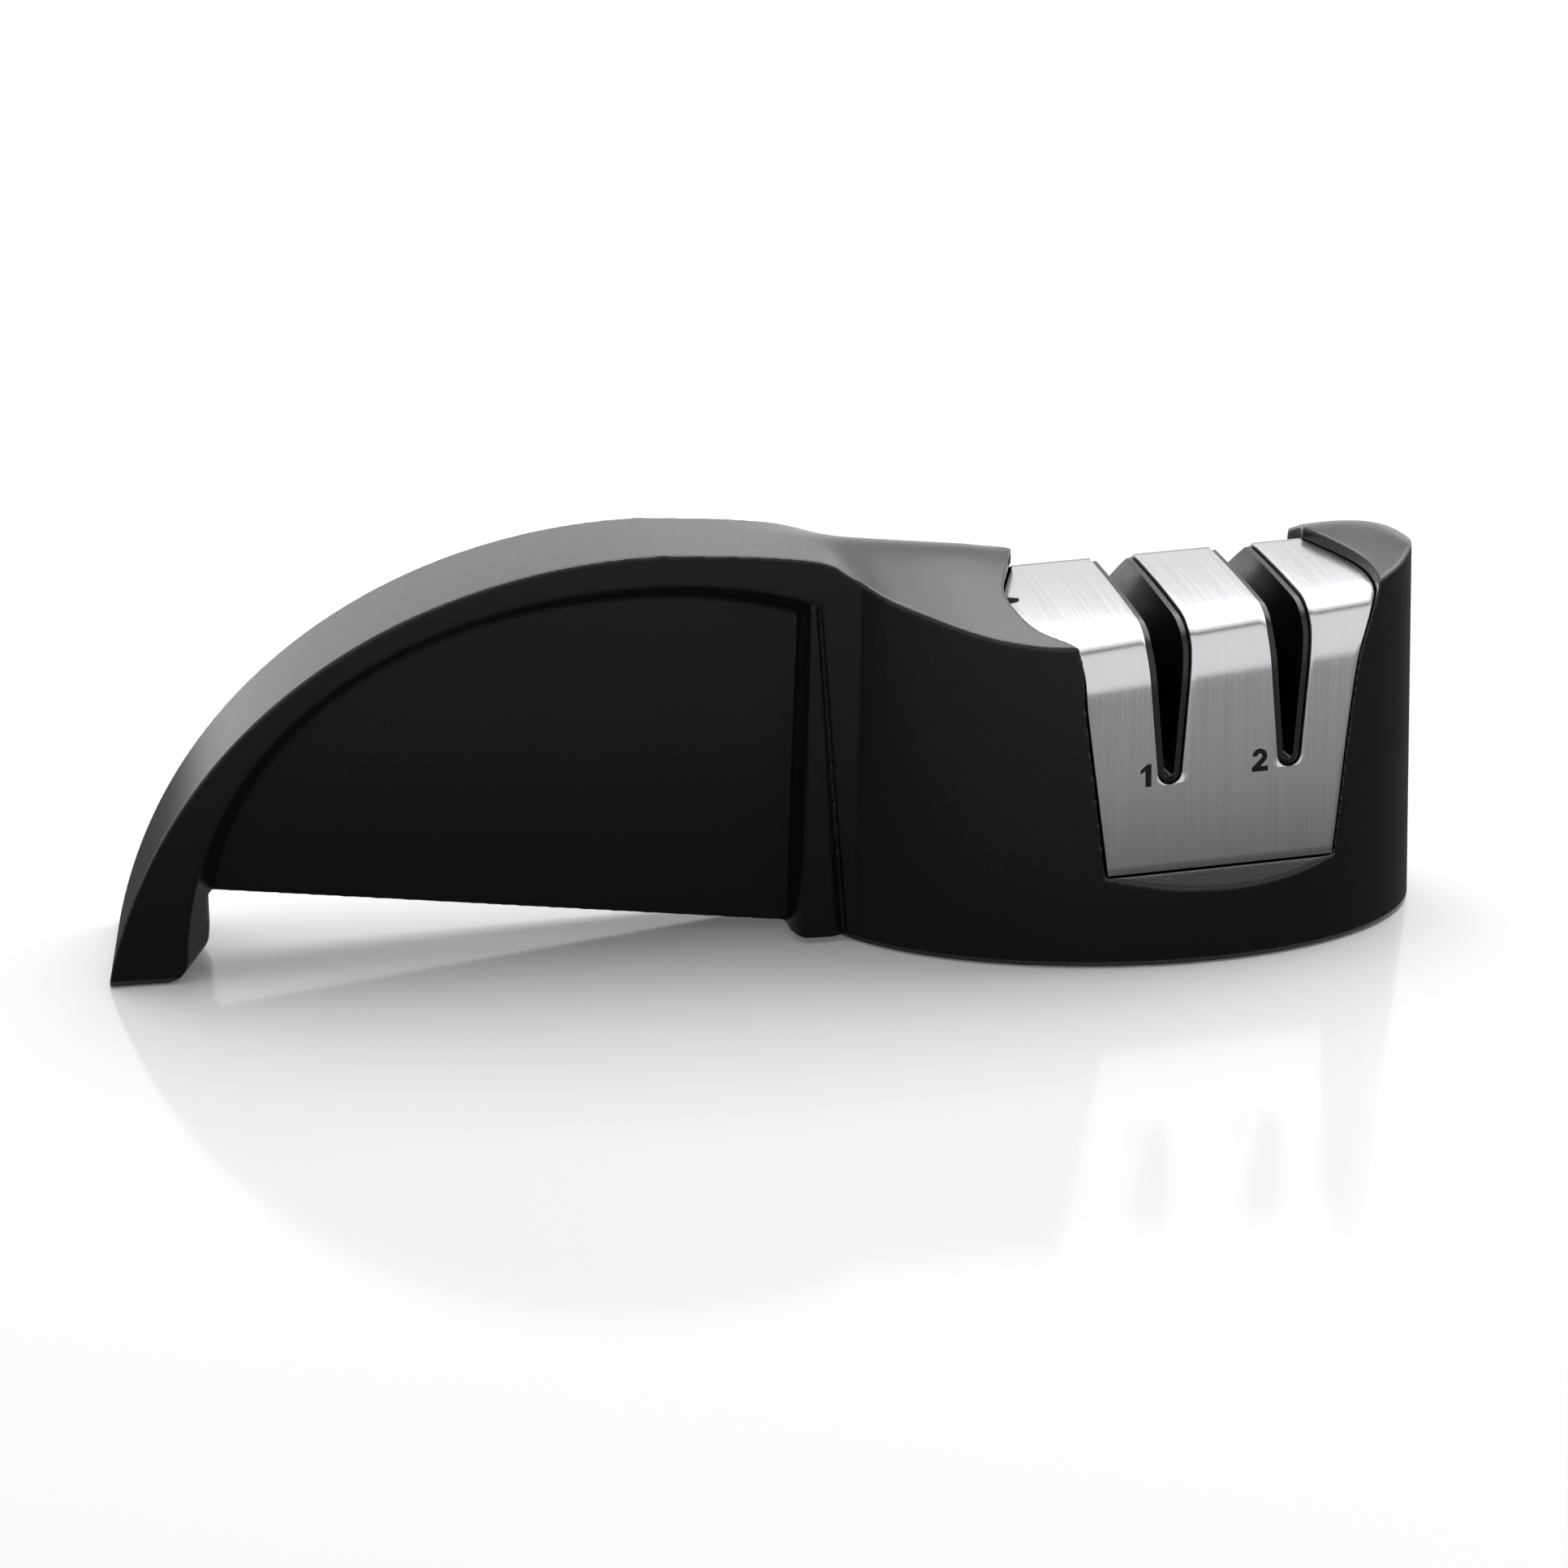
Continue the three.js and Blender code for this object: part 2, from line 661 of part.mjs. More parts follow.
// Side view of the guide block: its ends follow the plates' side edges and stop short of the roof's
function blockEnds(inset) {
  const [leftTop, rightTop] = sheetEdges(inset)(1 + bendShare);
  const [left, right] = sheetEdges(inset)(2);
  const bend = saddlePoint(headCentreX, 1 + bendShare, 0, -1).y;
  const outline = [
    [left, -over], [right, -over], [right, plateBottom], [rightTop, bend],
    [rightTop, high], [leftTop, high], [leftTop, bend], [left, plateBottom],
  ];
  const ring = (y) => outline.map(([x, z]) => new THREE.Vector3(headCentreX + x, y, z));
  return loft([ring(-headHalfWidth), ring(headHalfWidth)]);
}

function makeGuideBlock() {
  const inset = steelThick + fitGap;
  const endGap = fitGap * 2;
  const envelope = underSaddle(inset, plateBottom).intersect(blockEnds(endGap));
  const hollow = underSaddle(inset + blockSkin, plateBottom - over).intersect(blockEnds(endGap + blockSkin));
  const walls = slotX.map((x) => slotCut(x, -blockSlotWall).intersect(envelope));
  const cheeks = [cheekLeftX, cheekRightX].map((x) => {
    const upper = block(x, x + cheekThick, -cheekHalf, cheekHalf, axleHeight, high).intersect(envelope);
    return upper.add(block(x, x + cheekThick, -cheekHalf, cheekHalf, insideFoot, axleHeight + coneRadius));
  });
  const bosses = blockScrewPlaces.map(([x, y]) => (
    upright(blockBossRadius, insideFoot, insideFoot + blockBossHeight, headCentreX + x, y)
  ));
  const added = [...walls, ...cheeks, ...bosses];
  const whole = added.reduce((solid, piece) => solid.add(piece), envelope.subtract(hollow));
  const headEnds = [headCentreX - headHalfLength, headCentreX + headHalfLength];
  const cuts = [
    ...slotX.flatMap((x) => [slotCut(x, 0), wheelWell(x, wheelRoom)]),
    rodOnAxle(axleRadius + fitGap / 2, ...headEnds),
    rodOnAxle(washerRadius + wheelRoom, cheekLeftX + cheekThick, cheekRightX),
    rodOnAxle(clipRadius + wheelRoom, headEnds[0], cheekLeftX),
    rodOnAxle(clipRadius + wheelRoom, cheekRightX + cheekThick, headEnds[1]),
    ...blockScrewPlaces.map(([x, y]) => screwHole(headCentreX + x, y)),
  ];
  return cuts.reduce((solid, cut) => solid.subtract(cut), whole);
}

const clipLeftX = cheekLeftX - fitGap - clipThick;
const clipRightX = cheekRightX + cheekThick + fitGap;

function makeAxle() {
  return rodOnAxle(axleRadius, clipLeftX - axleTail, clipRightX + clipThick + axleTail);
}

function makeClip(x) {
  const ring = ringOnAxle(axleRadius + fitGap / 2, clipRadius, x, x + clipThick);
  const half = axleRadius / 2;
  const low = axleHeight - clipRadius - over;
  return ring.subtract(block(x - over, x + clipThick + over, -half, half, low, axleHeight));
}

function makeHub(x) {
  return ringOnAxle(axleRadius + runGap, hubRadius, x - hubLength / 2, x + hubLength / 2);
}

function makeWasher(x) {
  return ringOnAxle(axleRadius + fitGap, washerRadius, x, x + washerThick);
}

// One abrasive cone: its small end faces its partner, so that a pair makes a V
function makeCone(x, side) {
  const bore = hubRadius + fitGap;
  const near = x + side * fitGap / 2;
  const shoulder = near + side * coneRun;
  const back = shoulder + side * coneRim;
  return turned([
    [bore, near],
    [coneSmallRadius, near],
    [coneRadius, shoulder],
    [coneRadius, back],
    [bore, back],
  ]);
}

// Compression spring between the stages, as one round wire
function springPoints() {
  const seat = hubLength / 2 + runGap + washerThick + fitGap + springWire / 2;
  const start = slotX[0] + seat;
  const run = slotX[1] - seat - start;
  const steps = Math.round((run * wireSteps) / springPitch);
  return Array.from({ length: steps + 1 }, (_, i) => {
    const angle = (i * 2 * Math.PI) / wireSteps;
    const outward = new THREE.Vector3(0, Math.cos(angle), Math.sin(angle));
    const onAxis = new THREE.Vector3(start + (run * i) / steps, 0, axleHeight);
    return { centre: onAxis.addScaledVector(outward, springRadius), outward };
  });
}

function makeSpring() {
  const alongAxle = new THREE.Vector3(1, 0, 0);
  return loft(springPoints().map(({ centre, outward }) => Array.from({ length: wireSides }, (_, k) => {
    const angle = (k * 2 * Math.PI) / wireSides;
    return centre.clone()
      .addScaledVector(outward, (springWire / 2) * Math.cos(angle))
      .addScaledVector(alongAxle, (springWire / 2) * Math.sin(angle));
  })));
}

function springSelfGap() {
  const points = springPoints();
  let least = Infinity;
  points.forEach((p, i) => points.slice(i + Math.round(wireSteps / 2)).forEach((q) => {
    least = Math.min(least, p.centre.distanceTo(q.centre) - springWire);
  }));
  return least;
}

const looks = {
  moulding: { color: 0x1b1b1d, roughness: 0.55, metalness: 0 },
  cover: { color: 0x151516, roughness: 0.6, metalness: 0 },
  guide: { color: 0x0f0f10, roughness: 0.45, metalness: 0 },
  steel: { color: 0xc4c5c7, roughness: 0.3, metalness: 1 },
  fastener: { color: 0x8c8d90, roughness: 0.35, metalness: 1 },
  rubber: { color: 0x232325, roughness: 0.9, metalness: 0 },
  coarse: { color: 0x6f675c, roughness: 0.95, metalness: 0 },
  fine: { color: 0x857d70, roughness: 0.9, metalness: 0 },
  hub: { color: 0x2c2c2e, roughness: 0.5, metalness: 0 },
};

const sharpener = new THREE.Group();
const head = new THREE.Group();
const stages = [new THREE.Group(), new THREE.Group()];
sharpener.add(head);
head.add(...stages);

function addPiece(parent, name, look, solid) {
  const mesh = new THREE.Mesh(toGeometry(solid), new THREE.MeshStandardMaterial(looks[look]));
  mesh.name = name;
  parent.add(mesh);
}

addPiece(sharpener, 'body_shell', 'moulding', makeBody());
addPiece(sharpener, 'handle_pad', 'rubber', handlePadBlock(0));
addPiece(head, 'base_cover', 'cover', makeBase());
addPiece(head, 'guide_block', 'guide', makeGuideBlock());
addPiece(head, 'steel_cover', 'steel', makeSteel());
baseScrewPlaces.forEach(([x, y], i) => {
  addPiece(head, `base_screw_${i + 1}`, 'fastener', makeScrew(headCentreX + x, y));
});
blockScrewPlaces.forEach(([x, y], i) => {
  addPiece(head, `block_screw_${i + 1}`, 'fastener', makeScrew(headCentreX + x, y));
});
padPlaces().forEach(([x, y], i) => {
  addPiece(head, `foot_pad_${i + 1}`, 'rubber', makePad(x, y));
});
addPiece(head, 'axle', 'fastener', makeAxle());
addPiece(head, 'axle_clip_left', 'fastener', makeClip(clipLeftX));
addPiece(head, 'axle_clip_right', 'fastener', makeClip(clipRightX));
addPiece(head, 'preload_spring', 'fastener', makeSpring());
['coarse', 'fine'].forEach((grit, i) => {
  const x = slotX[i];
  const hubEnd = hubLength / 2 + runGap;
  addPiece(head, `slot_guide_${i + 1}`, 'guide', makeSlotGuide(x));
  addPiece(head, `thrust_washer_${2 * i + 1}`, 'fastener', makeWasher(x - hubEnd - washerThick));
  addPiece(head, `thrust_washer_${2 * i + 2}`, 'fastener', makeWasher(x + hubEnd));
  addPiece(stages[i], `wheel_hub_${i + 1}`, 'hub', makeHub(x));
  addPiece(stages[i], `${grit}_wheel_left`, grit, makeCone(x, -1));
  addPiece(stages[i], `${grit}_wheel_right`, grit, makeCone(x, 1));
});

console.log(`least gap between the spring's curls: ${springSelfGap().toFixed(2)} mm`);

export default sharpener;
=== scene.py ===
import json
import math

import bmesh
import bpy
from mathutils import Matrix, Vector

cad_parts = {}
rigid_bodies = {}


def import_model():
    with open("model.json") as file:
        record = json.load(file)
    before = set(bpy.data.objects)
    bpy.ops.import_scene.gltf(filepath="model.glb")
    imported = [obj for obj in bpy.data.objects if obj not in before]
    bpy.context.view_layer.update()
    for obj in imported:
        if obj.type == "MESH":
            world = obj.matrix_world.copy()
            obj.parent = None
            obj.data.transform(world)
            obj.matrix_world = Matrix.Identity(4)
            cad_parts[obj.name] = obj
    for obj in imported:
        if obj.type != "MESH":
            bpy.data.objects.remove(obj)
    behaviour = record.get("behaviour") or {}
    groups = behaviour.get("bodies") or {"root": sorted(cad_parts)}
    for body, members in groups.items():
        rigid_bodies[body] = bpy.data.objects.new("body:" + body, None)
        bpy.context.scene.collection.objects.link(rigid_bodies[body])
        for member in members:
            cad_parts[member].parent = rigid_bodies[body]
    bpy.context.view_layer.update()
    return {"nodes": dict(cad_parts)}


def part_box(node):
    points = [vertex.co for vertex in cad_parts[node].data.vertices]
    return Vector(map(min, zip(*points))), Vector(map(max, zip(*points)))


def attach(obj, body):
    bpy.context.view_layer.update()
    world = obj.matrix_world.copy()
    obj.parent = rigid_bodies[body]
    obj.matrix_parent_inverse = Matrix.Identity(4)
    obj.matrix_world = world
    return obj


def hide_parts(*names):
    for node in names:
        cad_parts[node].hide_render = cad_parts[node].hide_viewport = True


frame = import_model()
scene = bpy.context.scene
mm = 0.001               # pieces are drawn in millimetres and scaled to metres when they are done
print("frame loaded:", len(frame["nodes"]), "nodes")


# Small tools

def lerp(low, high, share):
    return low + (high - low) * share


def spread(count):
    return [i / count for i in range(count + 1)]


def fullTurn(count):  # angles of points round a circle
    return [2 * math.pi * i / count for i in range(count)]


def nodeBox(name):  # lowest and highest corner of a CAD node, in millimetres
    return [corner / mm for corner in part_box(name)]


def nodeMiddle(name):
    low, high = nodeBox(name)
    return (low + high) / 2


def nodeRadius(name):
    low, high = nodeBox(name)
    return (high.z - low.z) / 2


def along(stations, at):  # smooth curve through [place, value] stations
    last = len(stations) - 1
    i = 0
    while i < last - 1 and at > stations[i + 1][0]:
        i += 1

    def slope(k):
        (xa, va), (xb, vb) = stations[max(k - 1, 0)], stations[min(k + 1, last)]
        return (vb - va) / (xb - xa)

    (x0, v0), (x1, v1) = stations[i], stations[i + 1]
    run = x1 - x0
    t = min(max((at - x0) / run, 0.0), 1.0)
    rise = t * t * (3 - 2 * t)
    lead = t * (1 - t) ** 2 * run * slope(i)
    tail = t * t * (1 - t) * run * slope(i + 1)
    return v0 + (v1 - v0) * rise + lead - tail


def cubicPoints(a, b, c, d, count):
    points = []
    for t in spread(count):
        s = 1 - t
        weights = (s ** 3, 3 * s * s * t, 3 * s * t * t, t ** 3)
        points.append(tuple(sum(w * p[k] for w, p in zip(weights, (a, b, c, d))) for k in (0, 1)))
    return points


def roundCorners(corners, radius, count=4):  # a closed outline with its corners rounded
    rounded = []
    for i, corner in enumerate(corners):
        here = Vector(corner)
        before = Vector(corners[i - 1]) - here
        after = Vector(corners[(i + 1) % len(corners)]) - here
        reach = min(radius, before.length * 0.45, after.length * 0.45)
        start = here + before.normalized() * reach
        end = here + after.normalized() * reach
        for t in spread(count):
            rounded.append(tuple(start * (1 - t) ** 2 + here * 2 * t * (1 - t) + end * t * t))
    return rounded


def newPiece(name, points, faces):
    mesh = bpy.data.meshes.new(name)
    mesh.from_pydata([tuple(p) for p in points], [], faces)
    tidy = bmesh.new()
    tidy.from_mesh(mesh)
    bmesh.ops.recalc_face_normals(tidy, faces=tidy.faces)
    tidy.to_mesh(mesh)
    tidy.free()
    piece = bpy.data.objects.new(name, mesh)
    scene.collection.objects.link(piece)
    return piece


def loft(rings, name="tool", zipped=False):  # closed skin over rings; zipped ends suit a bent strip
    count = len(rings[0])
    points = [p for ring in rings for p in ring]
    faces = []
    for r in range(len(rings) - 1):
        for i in range(count):
            a = r * count + i
            b = r * count + (i + 1) % count
            faces.append((a, b, b + count, a + count))
    for first in (0, len(points) - count):
        if zipped:
            for i in range(count // 2 - 1):
                faces.append((first + i, first + i + 1, first + count - 2 - i, first + count - 1 - i))
        else:
            faces.append(tuple(range(first, first + count)))
    return newPiece(name, points, faces)


def box(low, high):
    corners = [(low[0], low[1]), (high[0], low[1]), (high[0], high[1]), (low[0], high[1])]
    return loft([[(x, y, z) for x, y in corners] for z in (low[2], high[2])])


def turned(profile, place, facets=96):  # ring with a closed (radius, along) profile, spun about a line
    count = len(profile)
    points, faces = [], []
    for i, angle in enumerate(fullTurn(facets)):
        points += [place(radius, at, angle) for radius, at in profile]
        a, b = i * count, ((i + 1) % facets) * count
        for k in range(count):
            n = (k + 1) % count
            faces.append((a + k, a + n, b + n, b + k))
    return newPiece("tool", points, faces)


def onAxle(radius, at, angle):
    return (at, radius * math.cos(angle), axle["height"] + radius * math.sin(angle))


def uprightOf(name):  # about the upright line through a node's middle
    x, y, z = nodeMiddle(name)
    return lambda radius, at, angle: (x + radius * math.cos(angle), y + radius * math.sin(angle), at)


def spun(profile, place, facets):  # solid skin through (radius, along) stations
    return loft([[place(radius, at, angle) for angle in fullTurn(facets)] for radius, at in profile])


def rod(place, radius, low, high, facets=48):
    return spun([(radius, low), (radius, high)], place, facets)


def bakeModifiers(piece):
    bpy.context.view_layer.update()
    shaped = piece.evaluated_get(bpy.context.evaluated_depsgraph_get())
    mesh = bpy.data.meshes.new_from_object(shaped)
    piece.modifiers.clear()
    piece.data = mesh


def combine(piece, operation, *tools):  # UNION, DIFFERENCE or INTERSECT
    for tool in tools:
        step = piece.modifiers.new("combine", "BOOLEAN")
        step.operation = operation
        step.solver = "EXACT"
        step.object = tool
        bakeModifiers(piece)
        bpy.data.objects.remove(tool)
    return piece


def bevel(piece, width, segments=2, angle=40):
    step = piece.modifiers.new("bevel", "BEVEL")
    step.width = width
    step.segments = segments
    step.limit_method = "ANGLE"
    step.angle_limit = math.radians(angle)
    bakeModifiers(piece)


def soften(piece, voxel, rounds, keep):  # even skin whose edges are rounded as a moulding's are
    remesh = piece.modifiers.new("remesh", "REMESH")
    remesh.mode = "VOXEL"
    remesh.voxel_size = voxel
    smooth = piece.modifiers.new("smooth", "SMOOTH")
    smooth.factor = 0.5
    smooth.iterations = rounds
    thin = piece.modifiers.new("thin", "DECIMATE")
    thin.ratio = keep
    bakeModifiers(piece)


def finishPiece(piece, name, body, material, nodes=(), smoothAngle=35):
    piece.name = name
    piece.data.name = name
    piece.data.transform(Matrix.Scale(mm, 4))
    piece.data.materials.clear()
    piece.data.materials.append(material)
    piece.data.shade_smooth()
    if smoothAngle:
        piece.data.set_sharp_from_angle(angle=math.radians(smoothAngle))
    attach(piece, body)
    if nodes:
        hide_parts(*nodes)
    return piece


# Materials

def srgb(hexColour):  # "#rrggbb" to linear
    channels = [int(hexColour[i:i + 2], 16) / 255 for i in (1, 3, 5)]
    linear = [c / 12.92 if c <= 0.04045 else ((c + 0.055) / 1.055) ** 2.4 for c in channels]
    return (*linear, 1.0)


def addNode(tree, kind, settings=None, links=None):
    node = tree.nodes.new(kind)
    for name, value in (settings or {}).items():
        if isinstance(name, int) or name in node.inputs:
            node.inputs[name].default_value = value
        else:
            setattr(node, name, value)
    for name, source in (links or {}).items():
        tree.links.new(source, node.inputs[name])
    return node


def newMaterial(name):
    material = bpy.data.materials.new(name)
    material.use_nodes = True
    material.node_tree.nodes.clear()
    return material, material.node_tree


def perMm(size):  # texture scale that gives features of a size in millimetres
    return 1 / (size * mm)


def blend(tree, dark, light, share):
    return addNode(tree, "ShaderNodeMix", {"data_type": "RGBA", 6: srgb(dark), 7: srgb(light)}, {0: share}).outputs[2]


def ranged(tree, value, low, high, start=0.0, end=1.0):
    settings = {"From Min": start, "From Max": end, "To Min": low, "To Max": high}
    return addNode(tree, "ShaderNodeMapRange", settings, {"Value": value}).outputs["Result"]


def closeMaterial(tree, shader, output="BSDF"):
    addNode(tree, "ShaderNodeOutputMaterial", links={"Surface": shader.outputs[output]})


noiseSpan = (0.3, 0.7)  # most of a noise texture's values lie between these


def mouldedPlastic(name, look):
    material, tree = newMaterial(name)
    place = addNode(tree, "ShaderNodeTexCoord").outputs["Object"]
    grain = addNode(tree, "ShaderNodeTexNoise", {"Scale": perMm(look["grain"]), "Detail": 3.0, "Roughness": 0.6},
                    {"Vector": place})
    cloud = addNode(tree, "ShaderNodeTexNoise", {"Scale": perMm(look["cloud"]), "Detail": 2.0}, {"Vector": place})
    colour = blend(tree, look["dark"], look["light"], cloud.outputs["Fac"])
    rough = ranged(tree, grain.outputs["Fac"], *look["rough"], *noiseSpan)
    bump = addNode(tree, "ShaderNodeBump", {"Strength": look["bump"], "Distance": look["depth"] * mm},
                   {"Height": grain.outputs["Fac"]})
    shader = addNode(tree, "ShaderNodeBsdfPrincipled",
                     {"IOR": look["ior"], "Specular IOR Level": look["specular"]},
                     {"Base Color": colour, "Roughness": rough, "Normal": bump.outputs["Normal"]})
    closeMaterial(tree, shader)
    return material


# Black ABS from a spark-eroded mould: near black face on, and pale grey where it mirrors the room at a slant.
# The erosion is about 0.1 mm across and is drawn at 0.4 mm so that it shows.
blackAbs = mouldedPlastic("spark-textured black ABS", {
    "dark": "#0a0a0b", "light": "#0f0f11", "grain": 0.4, "cloud": 16.0, "depth": 0.05, "bump": 0.35,
    "rough": (0.2, 0.27), "ior": 1.5, "specular": 0.42,
})
# Black acetal from a polished mould: the slot lips, darker and shinier than the body.
blackAcetal = mouldedPlastic("polished black acetal", {
    "dark": "#060606", "light": "#0b0b0c", "grain": 0.9, "cloud": 9.0, "depth": 0.01, "bump": 0.15,
    "rough": (0.2, 0.27), "ior": 1.48, "specular": 0.5,
})
# Black ABS from a plainer mould, under the head: flatter and a little greyer.
baseAbs = mouldedPlastic("matte black ABS", {
    "dark": "#0e0e0f", "light": "#151516", "grain": 0.7, "cloud": 12.0, "depth": 0.05, "bump": 0.4,
    "rough": (0.5, 0.6), "ior": 1.5, "specular": 0.4,
})
# Dark grey nylon of the wheel hubs: waxy, softly lit.
greyNylon = mouldedPlastic("moulded grey nylon", {
    "dark": "#252527", "light": "#303033", "grain": 0.6, "cloud": 6.0, "depth": 0.02, "bump": 0.2,
    "rough": (0.42, 0.5), "ior": 1.53, "specular": 0.45,
})
# Soft black rubber of the pads: dull all over, with dust in its grain.
softRubber = mouldedPlastic("moulded black rubber", {
    "dark": "#141415", "light": "#222223", "grain": 0.5, "cloud": 3.0, "depth": 0.06, "bump": 0.5,
    "rough": (0.78, 0.9), "ior": 1.52, "specular": 0.3,
})


def brushedStainless():
    # Stainless sheet brushed over the saddle: sharp reflections along the strokes, smeared across them.
    # The strokes are about 0.1 mm apart and are drawn at 0.3 mm so that they show.
    look = {"light": "#d9dadc", "dark": "#c6c7ca", "stroke": 0.3, "strokeLength": 40.0, "rough": (0.16, 0.26),
            "depth": 0.004, "bump": 0.25, "anisotropy": 0.75}
    material, tree = newMaterial("brushed stainless steel")
    flat = addNode(tree, "ShaderNodeUVMap", {"uv_map": "brush"}).outputs["UV"]  # millimetres, strokes along V
    comb = addNode(tree, "ShaderNodeMapping", {"Scale": (1 / look["stroke"], 1 / look["strokeLength"], 1.0)},
                   {"Vector": flat})
    strokes = addNode(tree, "ShaderNodeTexNoise", {"Scale": 1.0, "Detail": 4.0, "Roughness": 0.65},
                      {"Vector": comb.outputs["Vector"]})
    colour = blend(tree, look["dark"], look["light"], strokes.outputs["Fac"])
    rough = ranged(tree, strokes.outputs["Fac"], *look["rough"], *noiseSpan)
    bump = addNode(tree, "ShaderNodeBump", {"Strength": look["bump"], "Distance": look["depth"] * mm},
                   {"Height": strokes.outputs["Fac"]})
    across = addNode(tree, "ShaderNodeTangent", {"direction_type": "UV_MAP", "uv_map": "brush"})
    shader = addNode(tree, "ShaderNodeBsdfPrincipled", {"Metallic": 1.0, "Anisotropic": look["anisotropy"]},
                     {"Base Color": colour, "Roughness": rough, "Normal": bump.outputs["Normal"],
                      "Tangent": across.outputs["Tangent"]})
    closeMaterial(tree, shader)
    return material


def zincSteel():
    # Zinc-plated steel of screws, axle, clips, washers and spring: cool grey, softly mottled.
    look = {"light": "#c3c6ca", "dark": "#9da1a6", "mottle": 0.8, "rough": (0.28, 0.42)}
    material, tree = newMaterial("zinc-plated steel")
    place = addNode(tree, "ShaderNodeTexCoord").outputs["Object"]
    mottle = addNode(tree, "ShaderNodeTexNoise", {"Scale": perMm(look["mottle"]), "Detail": 4.0}, {"Vector": place})
    colour = blend(tree, look["dark"], look["light"], mottle.outputs["Fac"])
    rough = ranged(tree, mottle.outputs["Fac"], *look["rough"])
    shader = addNode(tree, "ShaderNodeBsdfPrincipled", {"Metallic": 1.0}, {"Base Color": colour, "Roughness": rough})
    closeMaterial(tree, shader)
    return material


gritCoat = {"bondScale": 6, "bondShare": 0.5, "bump": 0.8, "relief": 0.3, "rough": (0.55, 0.95)}  # sizes in grains


def bondedGrit(name, look):
    material, tree = newMaterial(name)
    place = addNode(tree, "ShaderNodeTexCoord").outputs["Object"]
    grains = addNode(tree, "ShaderNodeTexVoronoi", {"Scale": perMm(look["grain"])}, {"Vector": place})
    bond = addNode(tree, "ShaderNodeTexNoise", {"Scale": perMm(look["grain"] * gritCoat["bondScale"]), "Detail": 3.0},
                   {"Vector": place})
    mixed = blend(tree, look["grainColour"], look["bondColour"], grains.outputs["Distance"])
    colour = addNode(tree, "ShaderNodeMix", {"data_type": "RGBA", "blend_type": "MULTIPLY", 0: gritCoat["bondShare"]},
                     {6: mixed, 7: bond.outputs["Color"]}).outputs[2]
    depth = look["grain"] * gritCoat["relief"] * mm
    bump = addNode(tree, "ShaderNodeBump", {"Strength": gritCoat["bump"], "Distance": depth, "invert": True},
                   {"Height": grains.outputs["Distance"]})
    rough = ranged(tree, grains.outputs["Distance"], *gritCoat["rough"])
    shader = addNode(tree, "ShaderNodeBsdfPrincipled", {"IOR": 1.6, "Specular IOR Level": 0.5},
                     {"Base Color": colour, "Roughness": rough, "Normal": bump.outputs["Normal"]})
    closeMaterial(tree, shader)
    return material


def printedInk():
    # Pad-printed black ink: flat, with a faint speckle where the brushed steel shows through.
    look = {"ink": "#0b0b0b", "thin": "#1b1b1c", "speckle": 0.15, "rough": 0.6, "specular": 0.2}
    material, tree = newMaterial("pad-printed black ink")
    place = addNode(tree, "ShaderNodeTexCoord").outputs["Object"]
    speckle = addNode(tree, "ShaderNodeTexNoise", {"Scale": perMm(look["speckle"]), "Detail": 2.0}, {"Vector": place})
    colour = blend(tree, look["ink"], look["thin"], speckle.outputs["Fac"])
    shader = addNode(tree, "ShaderNodeBsdfPrincipled",
                     {"Roughness": look["rough"], "IOR": 1.5, "Specular IOR Level": look["specular"]},
                     {"Base Color": colour})
    closeMaterial(tree, shader)
    return material


stainless = brushedStainless()
zinc = zincSteel()
ink = printedInk()
# Diamond grit in a nickel bond on steel cones: brown-grey and sandy, coarser and darker on the first stage.
coarseGrit = bondedGrit("coarse bonded grit", {"grain": 0.3, "grainColour": "#8b8071", "bondColour": "#4c463d"})
fineGrit = bondedGrit("fine bonded grit", {"grain": 0.16, "grainColour": "#a3998a", "bondColour": "#6b6458"})
print("materials made:", len(bpy.data.materials))


# Head: an oval wall that leans in with height but stands upright beside the handle, under a ridged crown

shellLow, shellHigh = nodeBox("body_shell")
head = {
    "halfLength": 50.5,
    "rootReach": 51.4,      # from its centre towards the handle
    "halfWidth": shellHigh.y,
    "centre": shellHigh.x - 50.5,
    "foot": shellLow.z,
    "wall": 2.6,
    "draft": math.radians(3),
    "bulkheadInset": 8.5,
    # [distance from the head's centre, value] along the top: height of the ridge, and slopes down from it
    "crownHeight": [(-85, 63.45), (-68, 62.68), (-60.6, 62.28), (-53, 61.7), (-46.9, 61.1), (-43.8, 60.8),
                    (-34.6, 59.93), (-25.3, 59.1), (-17, 58.3), (31, 59.9), (38, 60.45), (43.5, 60.25), (47.5, 59.2),
                    (51, 57.5)],
    "crownFront": [(-62, 0), (-53, 0.025), (-49.4, 0.074), (-46.9, 0.18), (-43, 0.26), (-37.6, 0.285), (-27, 0.315),
                   (-15, 0.278), (30, 0.2), (39, 0.18), (42.2, 0.14), (44, 0.07), (51, 0.03)],
    "crownBack": [(-62, 0), (-53, 0.05), (-46, 0.2), (-43, 0.28), (51, 0.3)],
    "crownRound": 4.0,
    "ridgeY": 3.0,
    "facets": 240,
}
above = 80.0  # higher than everything
past = 1.0    # how far a cutter runs past what it cuts
clear = 0.3   # between pieces that fit in one another


def leanIn(across, z):  # by the cosine of the wall's turn about the head's centre
    lean = (z - head["foot"]) * math.tan(head["draft"])
    return lean * (1 - across * across) if across < 0 else lean


def headReach(across):
    return head["rootReach"] if across < 0 else head["halfLength"]


def headPoint(angle, z, inset):
    across = math.cos(angle)
    drawIn = leanIn(across, z) + inset
    x = head["centre"] + (headReach(across) - drawIn) * across
    return (x, (head["halfWidth"] - drawIn) * math.sin(angle), z)


def headPrism(low, high, inset, name="tool"):
    turns = fullTurn(head["facets"])
    return loft([[headPoint(angle, z, inset) for angle in turns] for z in (low, high)], name)


